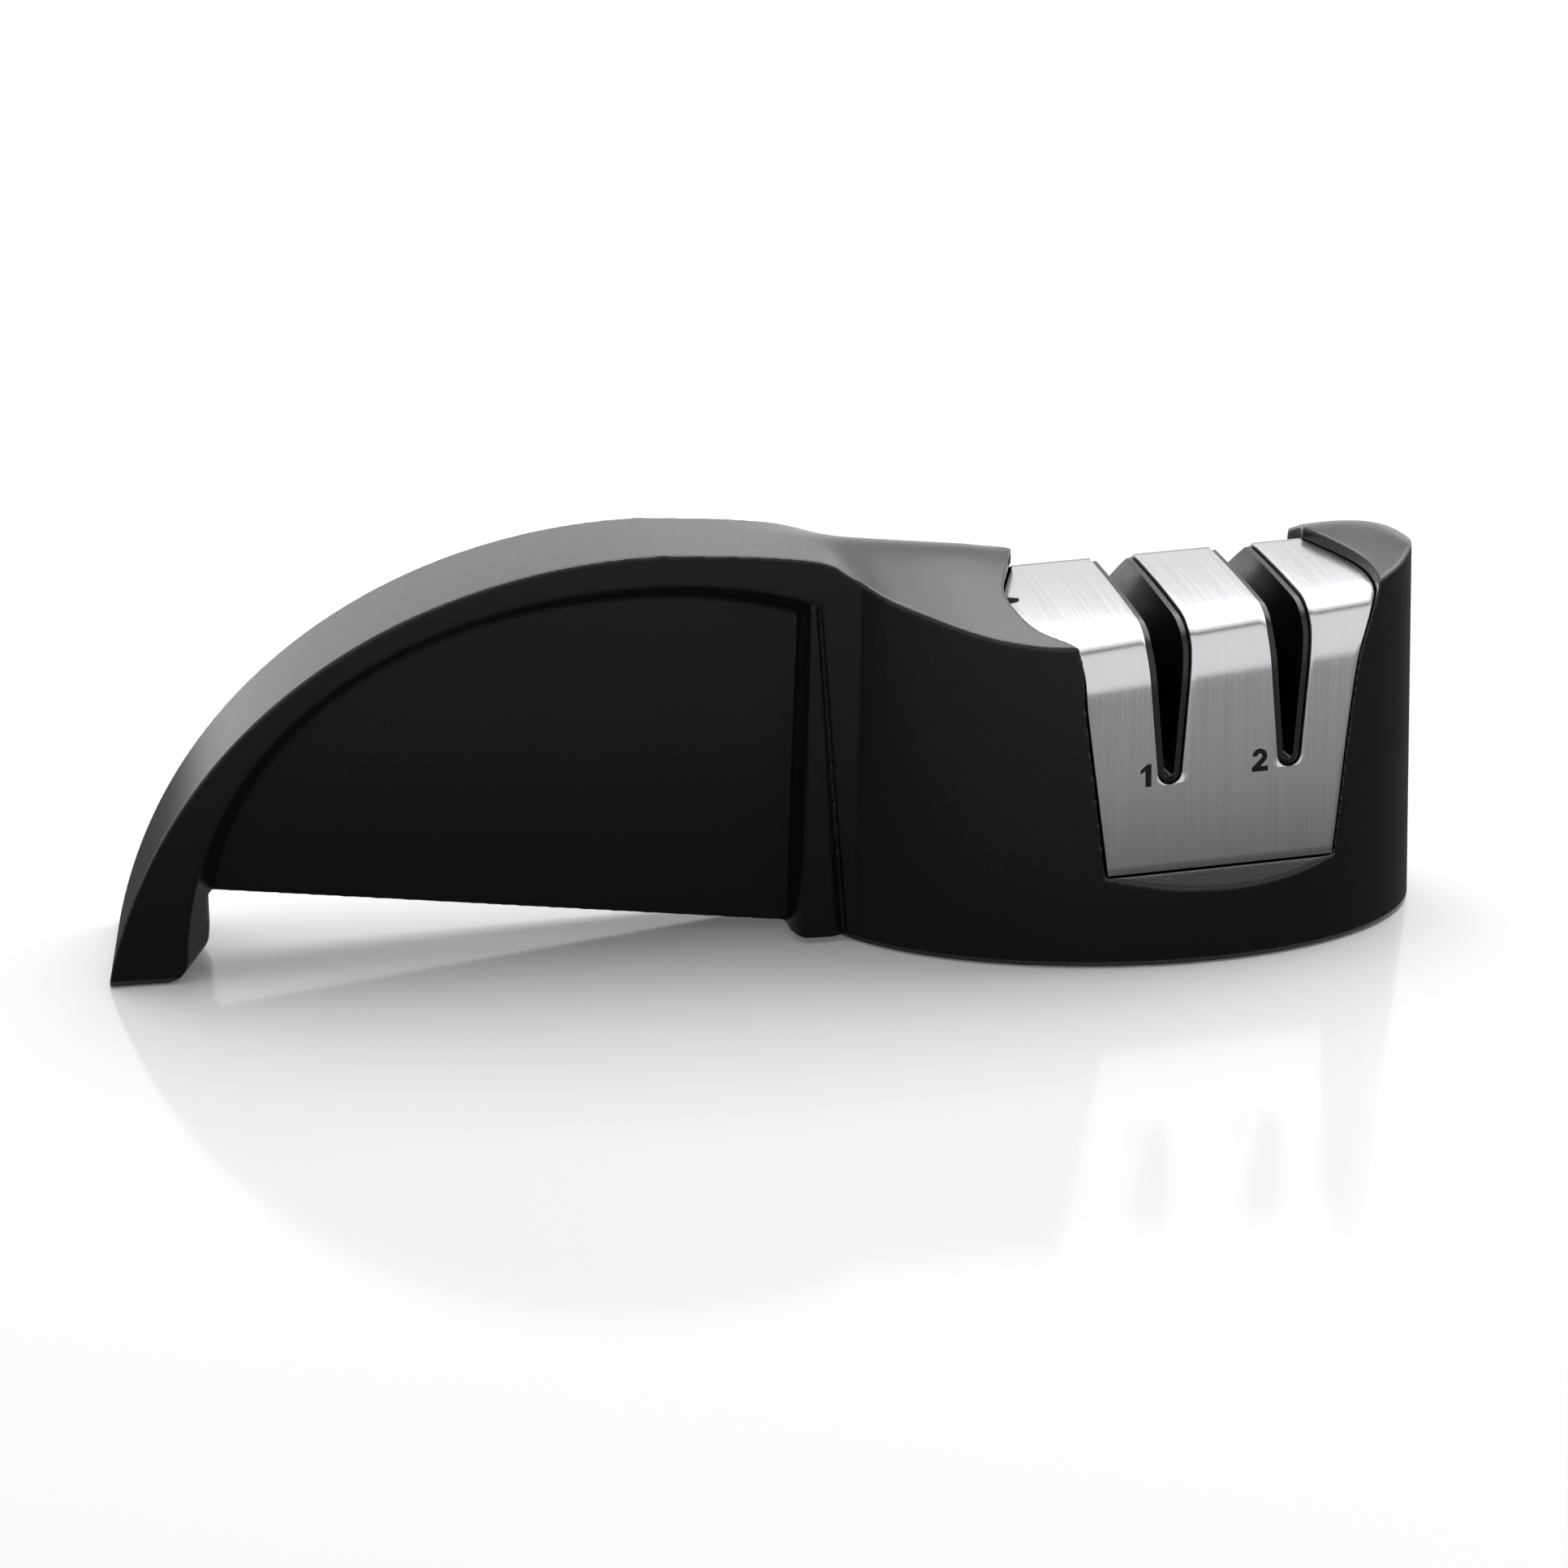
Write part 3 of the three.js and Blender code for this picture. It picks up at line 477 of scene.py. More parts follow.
def headSide(fromCentre, z):  # half width of the wall
    across = fromCentre / headReach(fromCentre)
    for settle in range(12):
        across = fromCentre / (headReach(fromCentre) - leanIn(across, z))
    return (head["halfWidth"] - leanIn(across, z)) * math.sqrt(1 - across ** 2)


def crownAt(fromCentre, y):
    run = math.hypot(y - head["ridgeY"], head["crownRound"]) - head["crownRound"]
    slope = along(head["crownFront" if y < head["ridgeY"] else "crownBack"], fromCentre)
    return along(head["crownHeight"], fromCentre) - slope * run


def aboveCrown(lower):
    reach = head["halfWidth"] + past
    rings = []
    for share in spread(110):
        fromCentre = lerp(head["crownHeight"][0][0], head["halfLength"] + past, share)
        x = head["centre"] + fromCentre
        edge = [(x, y, crownAt(fromCentre, y) - lower) for y in (lerp(-reach, reach, s) for s in spread(70))]
        rings.append(edge + [(x, reach, above), (x, -reach, above)])
    return loft(rings)


# Saddle: two leaning plates and a ridged roof that falls further at the back.
# Places on each side of its profile are 0 at the ridge, 1 at the bend, 2 at the foot

saddle = {
    "bottom": nodeBox("steel_cover")[0].z,
    "left": -10.6,      # lower corners of the plates, from the head's centre
    "right": 27.1,
    "lean": math.radians(5.7),
    "ridge": 56.4,
    "rise": math.radians(3.1),
    "roof": {-1: (0.12, 0.0015), 1: (0.5, 0.006)},  # fall from the ridge at the front and at the back: slope, curve
    "bendShare": 0.22,
    "collarEdge": [(0, -16.9), (0.4, -21.9), (0.55, -22), (0.78, -20), (1, -15.2), (1.3, -13.9), (2, -10.6)],
    "capEdge": [(0, 31.3), (0.55, 35.5), (0.87, 34.9), (1, 33.5), (1.25, 30.7), (2, 27.1)],
}


def plateHalf(x, z):
    left = headSide(saddle["left"], saddle["bottom"])
    right = headSide(saddle["right"], saddle["bottom"])
    share = (x - head["centre"] - saddle["left"]) / (saddle["right"] - saddle["left"])
    return lerp(left, right, share) - (z - saddle["bottom"]) * math.tan(saddle["lean"])


def ridgeAt(x):
    return saddle["ridge"] + (x - head["centre"]) * math.tan(saddle["rise"])


def roofAt(x, y, side):
    slope, curve = saddle["roof"][side]
    run = abs(y - head["ridgeY"])
    return ridgeAt(x) - slope * run - curve * run * run


def saddleBend(x, inset, side):  # where roof and plate would meet without the bend's radius
    y = side * (plateHalf(x, ridgeAt(x)) - inset)
    for settle in range(12):
        y = side * (plateHalf(x, roofAt(x, y, side) - inset) - inset)
    return y, roofAt(x, y, side) - inset


def saddlePoint(x, t, inset, side):  # (y, z)
    bendY, bendZ = saddleBend(x, inset, side)

    def sharp(s):
        if s <= 1:
            y = lerp(head["ridgeY"], bendY, s)
            return y, roofAt(x, y, side) - inset
        z = lerp(bendZ, saddle["bottom"], s - 1)
        return side * (plateHalf(x, z) - inset), z

    share = saddle["bendShare"]
    if abs(t - 1) >= share:
        return sharp(t)
    q = (t - 1 + share) / (2 * share)
    start, end = sharp(1 - share), sharp(1 + share)
    return tuple(start[k] * (1 - q) ** 2 + (bendY, bendZ)[k] * 2 * q * (1 - q) + end[k] * q * q for k in (0, 1))


def saddleHalfRows(plateRows, bendRows, roofRows):  # places from the ridge to the foot
    share = saddle["bendShare"]
    roof = [lerp(0, 1 - share, s) for s in spread(roofRows)]
    bend = [lerp(1 - share, 1 + share, s) for s in spread(bendRows)][1:]
    plate = [lerp(1 + share, 2, s) for s in spread(plateRows)][1:]
    return roof + bend + plate


def overSaddle(front, back=None):  # (side, place) from the front foot over the ridge to the back foot
    return [(-1, t) for t in reversed(front[1:])] + [(1, t) for t in back or front]


def sheetEdges(t, gap):
    return along(saddle["collarEdge"], t) - gap, along(saddle["capEdge"], t) + gap


def saddleStrip(corners, gap, sections=40):  # loft along the head through (side, place, inset, height or None)
    rings = []
    for share in spread(sections):
        ring = []
        for side, t, inset, height in corners:
            left, right = sheetEdges(t, gap)
            x = head["centre"] + lerp(left, right, share)
            y, z = saddlePoint(x, t, inset, side)
            ring.append((x, y, z if height is None else height))
        rings.append(ring)
    return loft(rings, zipped=True)


window = {"height": 16.0, "depth": 4.0, "ledgeSlope": 0.9, "shelfDepth": 5.0, "shelfReach": 3.0}


def saddleWindow():  # what the saddle takes out of the body, with a ledge that slopes out from the plate's foot
    profile = overSaddle(saddleHalfRows(8, 14, 14))
    high = window["height"]
    chord = saddle["bottom"] - clear
    low = chord - window["ledgeSlope"] * high
    outside = [(side, t, -high, None) for side, t in profile]
    inside = [(side, t, window["depth"], chord if t == 2 else None) for side, t in reversed(profile)]
    corners = [(-1, 2, -high, low)] + outside + [(1, 2, -high, low), (1, 2, 0, chord)]
    return saddleStrip(corners + inside + [(-1, 2, 0, chord)], clear)


def ledgeShelf(side):
    reach = window["shelfReach"]
    top = saddle["bottom"] - clear
    left, right = saddle["left"] - reach, saddle["right"] + reach
    corners = [(left, head["halfWidth"])]
    for fromCentre in (left, right):
        corners.append((fromCentre, plateHalf(head["centre"] + fromCentre, saddle["bottom"]) - reach))
    corners.append((right, head["halfWidth"]))
    return loft([[(head["centre"] + x, side * y, z) for x, y in corners] for z in (top - window["shelfDepth"], top)])


# Body: the head and the arched handle in one moulding

handle = {
    "tip": shellLow.x,
    "halfWidth": 15.0,
    "archTipPull": (8.7, 37.8),
    "archCrownPull": 44.0,
    "archCrown": (87.0, 63.05),
    "legWidth": 11.7,
    "legRound": 3.2,
    "rimTipPull": (14.5, 42.4),
    "rimCrownPull": 52.0,
    "rimCrown": (85.0, 58.1),
    "rimRootPull": (8.0, 0.33),     # reach of the curve from the crown to the corner, and slope at the corner
    "recessCornerHeight": 54.2,
    "recessCornerBack": 1.0,
    "recessInset": 3.4,
    "recessDraft": 3.0,
    "webHalf": (2.5, 8.0),      # at the tip and at the head
    "webEdge": (10.6, 1.0),
    "postBack": (0.8, 2.0),         # at the foot and at the top, from the head's end
    "postRadius": (4.4, 1.2),
    "postRound": (0.5, 6.0),        # rounding of its far edge: share of the radius, and depth
    "postGroove": (2.4, 1.3),       # width and depth
    "postDepth": 8.0,
    "postLift": 0.6,
}
moulding = {"voxel": 0.25, "rounds": 11, "keep": 0.2}

headEnd = head["centre"] - head["halfLength"] - handle["tip"]  # from the handle's tip
recessCorner = (headEnd - handle["recessCornerBack"], handle["recessCornerHeight"])
recessFoot = headEnd + handle["recessInset"]
postFoot = (headEnd - handle["postBack"][0], head["foot"] + handle["postLift"])
postTop = (headEnd - handle["postBack"][1], handle["recessCornerHeight"])


def legEdge(shift):  # round inner corner of the leg at the tip
    x = handle["legWidth"] - handle["legRound"] + shift
    z = head["foot"] + handle["legRound"]
    turns = [lerp(-math.pi / 2, 0, s) for s in spread(10)]
    return [(x + handle["legRound"] * math.cos(a), z + handle["legRound"] * math.sin(a)) for a in turns]


def handleOutline():  # side view from the tip
    crown = handle["archCrown"]
    arch = cubicPoints((0, head["foot"]), handle["archTipPull"], (handle["archCrownPull"], crown[1]), crown, 90)
    root = head["centre"] - handle["tip"]
    leg = legEdge(handle["recessDraft"])
    web = [(root, crown[1]), (root, postFoot[1]), postFoot, (postFoot[0], handle["webEdge"][1])]
    return arch + web + [(leg[-1][0], handle["webEdge"][0])] + leg[::-1]


def recessOutline(drawIn):
    leg = legEdge(drawIn)
    crown = (handle["rimCrown"][0], handle["rimCrown"][1] - drawIn)
    pull = (handle["rimTipPull"][0] + drawIn, handle["rimTipPull"][1] - drawIn)
    rim = cubicPoints(leg[-1], pull, (handle["rimCrownPull"], crown[1]), crown, 70)
    corner = (recessCorner[0], recessCorner[1] - drawIn)
    reach, slope = handle["rimRootPull"]
    rootPull = (corner[0] - reach, corner[1] + reach * slope)
    root = cubicPoints(crown, (crown[0] + reach, crown[1]), rootPull, corner, 30)
    return [(leg[0][0], -past)] + leg[:-1] + rim + root[1:] + [(recessFoot, -past)]


def fingerRecess(side):
    def webHalf(x):
        share = (x - handle["legWidth"]) / (recessFoot - handle["legWidth"])
        return lerp(*handle["webHalf"], min(max(share, 0), 1))

    def ring(drawIn, half):
        return [(handle["tip"] + x, side * half(x), z) for x, z in recessOutline(drawIn)]

    outer = ring(0, lambda x: handle["halfWidth"] + past)
    face = ring(0, lambda x: handle["halfWidth"])
    return loft([outer, face, ring(handle["recessDraft"], webHalf)])


def recessPost(side):  # tapered pillar that ends the recess, round to the web and grooved beside the head
    rings = []
    half = handle["halfWidth"]
    share, deep = handle["postRound"]
    for radius, (x, z) in zip(handle["postRadius"], (postFoot, postTop)):
        wide, low = (min(size, radius) for size in handle["postGroove"])
        plan = [(radius, half - low), (radius - wide, half)]
        for turn in (s * math.pi / 2 for s in spread(16)):
            plan.append((radius * (share - 1 - share * math.sin(turn)), half - deep * (1 - math.cos(turn))))
        plan += [(-radius, half - handle["postDepth"]), (radius, half - handle["postDepth"])]
        rings.append([(handle["tip"] + x + dx, side * y, z) for dx, y in plan])
    return loft(rings)


def makeBody():
    outline = handleOutline()
    half = handle["halfWidth"]
    body = loft([[(handle["tip"] + x, y, z) for x, z in outline] for y in (-half, half)], "body")
    for side in (-1, 1):
        combine(body, "DIFFERENCE", fingerRecess(side))
        combine(body, "UNION", recessPost(side))
    combine(body, "UNION", headPrism(head["foot"], above - past, 0))
    combine(body, "DIFFERENCE", aboveCrown(0))
    hollowX = head["centre"] - head["halfLength"] + head["bulkheadInset"]
    hollow = headPrism(-past, above - past, head["wall"], "hollow")
    combine(hollow, "DIFFERENCE", aboveCrown(head["wall"]))
    combine(hollow, "INTERSECT", box((hollowX, -above, -above), (2 * above, above, above)))
    for name in baseScrews:
        boss = rod(uprightOf(name), screw["bossRadius"], nodeBox("base_cover")[1].z + clear, above)
        combine(hollow, "DIFFERENCE", boss)
    combine(hollow, "DIFFERENCE", ledgeShelf(-1), ledgeShelf(1))
    combine(body, "DIFFERENCE", hollow, saddleWindow())
    for name in baseScrews:
        hole = rod(uprightOf(name), screw["holeRadius"], -past, nodeBox(name)[1].z + screw["holeRoom"])
        combine(body, "DIFFERENCE", hole)
    low, high = nodeBox("handle_pad")
    gap = Vector((clear, clear, clear))
    combine(body, "DIFFERENCE", box(low - gap, high + gap))
    soften(body, moulding["voxel"], moulding["rounds"], moulding["keep"])
    return body


baseScrews = ["base_screw_1", "base_screw_2", "base_screw_3"]
blockScrews = ["block_screw_1", "block_screw_2"]
screw = {
    "bossRadius": 3.3,
    "holeRadius": 1.55,
    "holeRoom": 0.8,
    "headRadius": 2.8,
    "headThick": 1.6,
    "dome": [(0.72, 0.0), (0.93, 0.25), (1.0, 0.65)],   # share of the head's radius, and height
    "seat": (0.05, 0.04),       # of the head's underside, at its rim and at the thread
    "threadRadius": 1.3,
    "point": (0.35, 1.2),       # radius and length
    "crossWidth": 0.75,
    "crossReach": 1.55,
    "crossDepth": 0.95,
    "crossTaper": 0.55,
}
body = finishPiece(makeBody(), "body", "base", blackAbs, ["body_shell"], smoothAngle=None)
print("body:", len(body.data.polygons), "faces")


# Steel cover: one bent sheet on a grid that follows the edges of the slots

slot = {
    "places": [nodeMiddle("slot_guide_1").x, nodeMiddle("slot_guide_2").x],
    "foot": 27.9,
    "bend": 48.6,
    "footHalf": 2.05,
    "topHalf": 3.7,
}
steel = {"thick": 0.8, "edge": 0.14, "columns": (16, 12, 12), "rowGap": 0.012, "weld": 0.0005}


def slotHalf(x, z):  # half width of the slot at x, at a height
    rise = ridgeAt(x) - saddle["ridge"]
    radius = slot["footHalf"]
    fromFoot = z - rise - slot["foot"]
    if fromFoot <= 0:
        return 0.0
    if fromFoot < radius:
        return math.sqrt(radius ** 2 - (radius - fromFoot) ** 2)
    share = (fromFoot - radius) / (slot["bend"] - slot["foot"] - radius)
    return lerp(radius, slot["topHalf"], min(share, 1.0))


def steelHalfRows(side):
    feet = []
    for x in slot["places"]:  # rows for the round feet of the slots
        bendZ = saddleBend(x, 0, side)[1]
        for step in spread(7):
            z = slot["foot"] + ridgeAt(x) - saddle["ridge"] + slot["footHalf"] * (1 - math.cos(step * math.pi / 2))
            feet.append(1 + (bendZ - z) / (bendZ - saddle["bottom"]))
    rows = [t for t in saddleHalfRows(22, 18, 14) if min(abs(t - foot) for foot in feet) > steel["rowGap"]]
    return sorted(rows + feet)


def makeSteel():
    rows = overSaddle(steelHalfRows(-1), steelHalfRows(1))
    points, flats, faces = [], [], []
    run = 0.0
    before = None
    for side, t in rows:
        middle = Vector(saddlePoint(head["centre"], t, 0, side))
        run += (middle - before).length if before else 0.0
        before = middle
        left, right = [head["centre"] + edge for edge in sheetEdges(t, 0)]
        ends = [left]
        for x in slot["places"]:
            half = slotHalf(x, saddlePoint(x, t, 0, side)[1])
            ends += [x - half, x + half]
        ends.append(right)
        for tongue, columns in enumerate(steel["columns"]):
            for share in spread(columns):
                x = lerp(ends[2 * tongue], ends[2 * tongue + 1], share)
                points.append((x, *saddlePoint(x, t, 0, side)))
                flats.append((x, run))
    width = sum(steel["columns"]) + len(steel["columns"])
    for r in range(len(rows) - 1):
        first = r * width
        for columns in steel["columns"]:
            for c in range(first, first + columns):
                faces.append((c, c + 1, c + 1 + width, c + width))
            first += columns + 1
    mesh = bpy.data.meshes.new("steel")
    mesh.from_pydata(points, [], faces)
    brush = mesh.uv_layers.new(name="brush")
    for loop in mesh.loops:
        brush.data[loop.index].uv = flats[loop.vertex_index]
    sheet = bmesh.new()
    sheet.from_mesh(mesh)
    bmesh.ops.remove_doubles(sheet, verts=sheet.verts, dist=steel["weld"])
    bmesh.ops.recalc_face_normals(sheet, faces=sheet.faces)
    if sum(face.normal.z for face in sheet.faces) < 0:
        bmesh.ops.reverse_faces(sheet, faces=sheet.faces)
    sheet.to_mesh(mesh)
    sheet.free()
    piece = bpy.data.objects.new("steel", mesh)
    scene.collection.objects.link(piece)
    solid = piece.modifiers.new("thickness", "SOLIDIFY")
    solid.thickness = steel["thick"]
    solid.offset = -1
    bakeModifiers(piece)
    bevel(piece, steel["edge"], angle=60)
    return piece


steelCover = finishPiece(makeSteel(), "steel_saddle", "base", stainless, ["steel_cover"])
print("steel saddle:", len(steelCover.data.polygons), "faces")


# Slot guides: black lips that line the slots, a little below the steel's face

guide = {"wall": 0.9, "sink": 0.6, "edge": 0.3, "wheelRoom": 0.6}
axle = {"height": nodeMiddle("axle").z, "radius": nodeRadius("axle"), "edge": 0.3, "hubEdge": 0.4, "washerEdge": 0.15}


def slotPrism(x, inset):
    rise = ridgeAt(x) - saddle["ridge"]
    radius = slot["footHalf"] - inset
    centre = slot["foot"] + slot["footHalf"] + rise
    turns = [lerp(math.pi, 2 * math.pi, s) for s in spread(20)]
    foot = [(radius * math.cos(a), centre + radius * math.sin(a)) for a in turns]
    half, bend = slot["topHalf"] - inset, slot["bend"] + rise
    outline = foot + [(half, bend), (half, above), (-half, above), (-half, bend)]
    reach = head["halfWidth"] + past
    return loft([[(x + dx, y, z) for dx, z in outline] for y in (-reach, reach)], "guide")


def underSaddle(x, halfLength, inset):
    rings = []
    for at in (x - halfLength, x + halfLength):
        ring = []
        for side, t in overSaddle(saddleHalfRows(10, 16, 16)):
            ring.append((at, *saddlePoint(at, t, inset, side)))
        rings.append(ring)
    return loft(rings)


def makeSlotGuide(number):
    x = slot["places"][number]
    piece = slotPrism(x, clear)
    combine(piece, "DIFFERENCE", slotPrism(x, clear + guide["wall"]))
    combine(piece, "INTERSECT", underSaddle(x, 2 * slot["topHalf"], guide["sink"]))
    grit = ("coarse", "fine")[number]
    left, right = grit + "_wheel_left", grit + "_wheel_right"
    room = guide["wheelRoom"]
    start, end = nodeBox(left)[0].x - room, nodeBox(right)[1].x + room
    combine(piece, "DIFFERENCE", rod(onAxle, nodeRadius(left) + room, start, end, facets=96))
    bevel(piece, guide["edge"], segments=3)
    return piece


for number in (0, 1):
    node = f"slot_guide_{number + 1}"
    finishPiece(makeSlotGuide(number), f"slot_lip_{number + 1}", "base", blackAcetal, [node])
print("slot lips made")


# Abrasive cones, hubs, washers and axle, turned about the axle's line

cones = {"smallRadius": 5.2, "run": 3.2, "edge": 0.35}


def makeCone(node, inward):  # inward is the side that faces its partner
    low, high = nodeBox(node)
    near, back = (high.x, low.x) if inward > 0 else (low.x, high.x)
    radius = nodeRadius(node)
    bore = nodeRadius("wheel_hub_1") + clear
    shoulder = near - inward * cones["run"]
    corners = [(bore, near), (cones["smallRadius"], near), (radius, shoulder), (radius, back), (bore, back)]
    return turned(roundCorners(corners, cones["edge"]), onAxle)


def makeRing(node, bore, edge):
    low, high = nodeBox(node)
    radius = nodeRadius(node)
    return turned(roundCorners([(bore, low.x), (radius, low.x), (radius, high.x), (bore, high.x)], edge), onAxle)


def makeAxle():
    low, high = nodeBox("axle")
    radius, edge = axle["radius"], axle["edge"]
    stations = [(radius - edge, low.x), (radius, low.x + edge), (radius, high.x - edge), (radius - edge, high.x)]
    return spun(stations, onAxle, 64)


for number, (grit, material) in enumerate((("coarse", coarseGrit), ("fine", fineGrit))):
    wheels = grit + "_wheels"
    for end, inward in (("left", 1), ("right", -1)):
        node = f"{grit}_wheel_{end}"
        finishPiece(makeCone(node, inward), f"{grit}_cone_{end}", wheels, material, [node])
    hub = f"wheel_hub_{number + 1}"
    sleeve = makeRing(hub, axle["radius"] + clear, axle["hubEdge"])
    finishPiece(sleeve, f"hub_{number + 1}", wheels, greyNylon, [hub])
for number in range(1, 5):
    node = f"thrust_washer_{number}"
    washer = makeRing(node, axle["radius"] + clear, axle["washerEdge"])
    finishPiece(washer, f"washer_{number}", "base", zinc, [node])
finishPiece(makeAxle(), "axle_rod", "base", zinc, ["axle"])
print("wheels and axle made")


# Preload spring: round wire in open curls of even pitch along the spring's length

spring = {"wire": 0.8, "radius": 3.2, "pitch": 1.42, "steps": 40, "sides": 12}


def makeSpring():
    low, high = nodeBox("preload_spring")
    start, run = low.x + spring["wire"] / 2, high.x - low.x - spring["wire"]
    curls = round(run / spring["pitch"] * 8) / 8
    rings = []
    for i in range(round(curls * spring["steps"]) + 1):
        angle = 2 * math.pi * i / spring["steps"]
        outward = Vector((0, math.cos(angle), math.sin(angle)))
        middle = Vector((start + run * i / (curls * spring["steps"]), 0, axle["height"])) + outward * spring["radius"]
        ring = []
        for turn in fullTurn(spring["sides"]):
            ring.append(middle + (outward * math.cos(turn) + Vector((math.sin(turn), 0, 0))) * spring["wire"] / 2)
        rings.append(ring)
    return loft(rings)


finishPiece(makeSpring(), "spring_wire", "base", zinc, ["preload_spring"])


# Underside: base plate, cross-head screws and rubber pads

under = {"plateEdge": 0.25, "padEdge": 0.35, "padFlat": 0.82, "padShoulder": 0.3, "handlePadRound": 1.4}
pads = ["foot_pad_1", "foot_pad_2", "foot_pad_3", "foot_pad_4"]


def makeBase():
    low, high = nodeBox("base_cover")
    plate = headPrism(low.z, high.z, head["wall"] + clear, "base")
    combine(plate, "INTERSECT", box((low.x, -above, -above), (above * 2, above, above)))
    for name in baseScrews + blockScrews:
        at, seat = uprightOf(name), nodeBox(name)[0].z + screw["headThick"] + clear
        bore = rod(at, screw["headRadius"] + clear, -past, seat)
        combine(plate, "DIFFERENCE", bore, rod(at, screw["holeRadius"], -past, above))
    for name in pads:
        place, top = nodeMiddle(name), nodeBox(name)[1]
        pocket = rod(uprightOf(name), top.x - place.x + clear, -past, top.z + clear, facets=72)
        combine(plate, "DIFFERENCE", pocket)
    bevel(plate, under["plateEdge"])
    return plate


def makeScrew(name):
    place, (low, high) = nodeMiddle(name), nodeBox(name)
    seat = low.z + screw["headThick"]
    radius, thread = screw["headRadius"], screw["threadRadius"]
    rimSeat, threadSeat = screw["seat"]
    pointRadius, pointLength = screw["point"]
    dome = [(radius * share, low.z + up) for share, up in screw["dome"]] + [(radius, seat - rimSeat)]
    shank = [(thread, seat - threadSeat), (thread, high.z - pointLength), (pointRadius, high.z)]
    piece = spun(dome + shank, uprightOf(name), 64)
    taper = screw["crossTaper"]
    long, short = screw["crossReach"], screw["crossWidth"] / 2
    for wide, deep in ((long, short), (short, long)):
        outline = [(-wide, -deep), (wide, -deep), (wide, deep), (-wide, deep)]
        mouth = [(place.x + x, place.y + y, low.z - 0.1) for x, y in outline]
        floor = [(place.x + x * taper, place.y + y * taper, low.z + screw["crossDepth"]) for x, y in outline]
        combine(piece, "DIFFERENCE", loft([mouth, floor]))
    return piece


def makePad(name):
    low, high = nodeBox(name)
    radius = (high.x - low.x) / 2
    rounded = []
    edge = under["padEdge"]
    for share in spread(5):
        turn = share * math.pi / 2
        rounded.append((radius - edge * (1 - math.sin(turn)), low.z + edge * (1 - math.cos(turn))))
    profile = [(radius * under["padFlat"], low.z), (radius - edge, low.z)] + rounded[1:] + [(radius, high.z)]
    return spun(profile, uprightOf(name), 72)


def makeHandlePad():
    low, high = nodeBox("handle_pad")
    corners = [(low.x, low.y), (high.x, low.y), (high.x, high.y), (low.x, high.y)]
    outline = roundCorners(corners, under["handlePadRound"], 8)
    middle = (low + high) / 2
    edge = under["padEdge"]
    shoulder = edge * under["padShoulder"]
    rings = []
    for shrink, z in ((edge, low.z), (shoulder, low.z + shoulder), (0, low.z + edge), (0, high.z)):
        across = 1 - 2 * shrink / (high.x - low.x)
        down = 1 - 2 * shrink / (high.y - low.y)
        rings.append([(lerp(middle.x, x, across), lerp(middle.y, y, down), z) for x, y in outline])
    return loft(rings)


finishPiece(makeBase(), "base_plate", "base", baseAbs, ["base_cover"])
for name in baseScrews + blockScrews:
    finishPiece(makeScrew(name), name.replace("screw", "cross_screw"), "base", zinc, [name])
for name in pads:
    finishPiece(makePad(name), name.replace("foot_pad", "rubber_foot"), "base", softRubber, [name])
finishPiece(makeHandlePad(), "rubber_handle_foot", "base", softRubber, ["handle_pad"])
print("underside made")


# CAD nodes that stay as they are

for name, material in (("guide_block", blackAcetal), ("axle_clip_left", zinc), ("axle_clip_right", zinc)):
    node = frame["nodes"][name]
    node.data.materials.clear()
    node.data.materials.append(material)


# Stage numbers printed on the front plate, left of each slot's foot

numbers = {"thick": 0.03, "one": (50.49, 29.6), "two": (69.5, 30.4)}  # middles, along the head and upward


def ellipse(middle, radii, start, end, count=20):
    turns = [math.radians(lerp(start, end, s)) for s in spread(count)]
    return [(middle[0] + radii[0] * math.cos(a), middle[1] + radii[1] * math.sin(a)) for a in turns]


numberOne = [(0.82, 0), (1.8, 0), (1.8, 3.5), (1.15, 3.5), (0, 2.62), (0.04, 2.06), (0.82, 2.48)]
numberTwo = (ellipse((1.33, 2.35), (1.25, 1.2), 180, -35) + [(1.42, 0.8), (2.73, 0.8), (2.73, 0), (0, 0), (0, 0.62)]
             + ellipse((1.33, 2.38), (0.4, 0.42), -40, 176))


def makeNumber(outline, x, z):
    here = Vector((x, -plateHalf(x, z), z))
    right = (Vector((x + 1, -plateHalf(x + 1, z), z)) - here).normalized()
    up = (Vector((x, -plateHalf(x, z + 1), z + 1)) - here).normalized()
    out = right.cross(up)
    middle = Vector([(min(p[k] for p in outline) + max(p[k] for p in outline)) / 2 for k in (0, 1)])
    rings = []
    for depth in (-numbers["thick"], numbers["thick"]):
        flat = [Vector(p) - middle for p in outline]
        rings.append([here + right * p.x + up * p.y + out * depth for p in flat])
    return loft(rings)


for name, outline in (("one", numberOne), ("two", numberTwo)):
    piece = makeNumber(outline, *numbers[name])
    finishPiece(piece, "stage_number_" + name, "base", ink)
print("stage numbers printed")


# Tabs of the moulding that hold the sheet down, one at each end of each side

tabs = {
    "places": [(34.49, 11.68, 1), (90.95, 7.52, -1)],   # along the head, out from its middle, and which way it points
    "root": 2.4,
    "tip": 0.7,
    "wide": 0.9,
    "taper": 0.6,
    "thick": 0.5,
    "slope": 0.2,
    "sink": 0.1,
    "edge": 0.12,
}


def makeTab(x, y, side, inward):
    z = roofAt(x, y, side)
    root, tip = x - inward * tabs["root"], x + inward * tabs["tip"]
    low, high = z - tabs["sink"], z + tabs["thick"]
    wide, slope = tabs["wide"] / 2, tabs["slope"]
    rings = []
    for at, half, top in ((root, wide, high + slope), (tip, wide * tabs["taper"], high - slope)):
        rings.append([(at, y - half, low), (at, y + half, low), (at, y + half, top), (at, y - half, top)])
    piece = loft(rings)
    bevel(piece, tabs["edge"])
    return piece


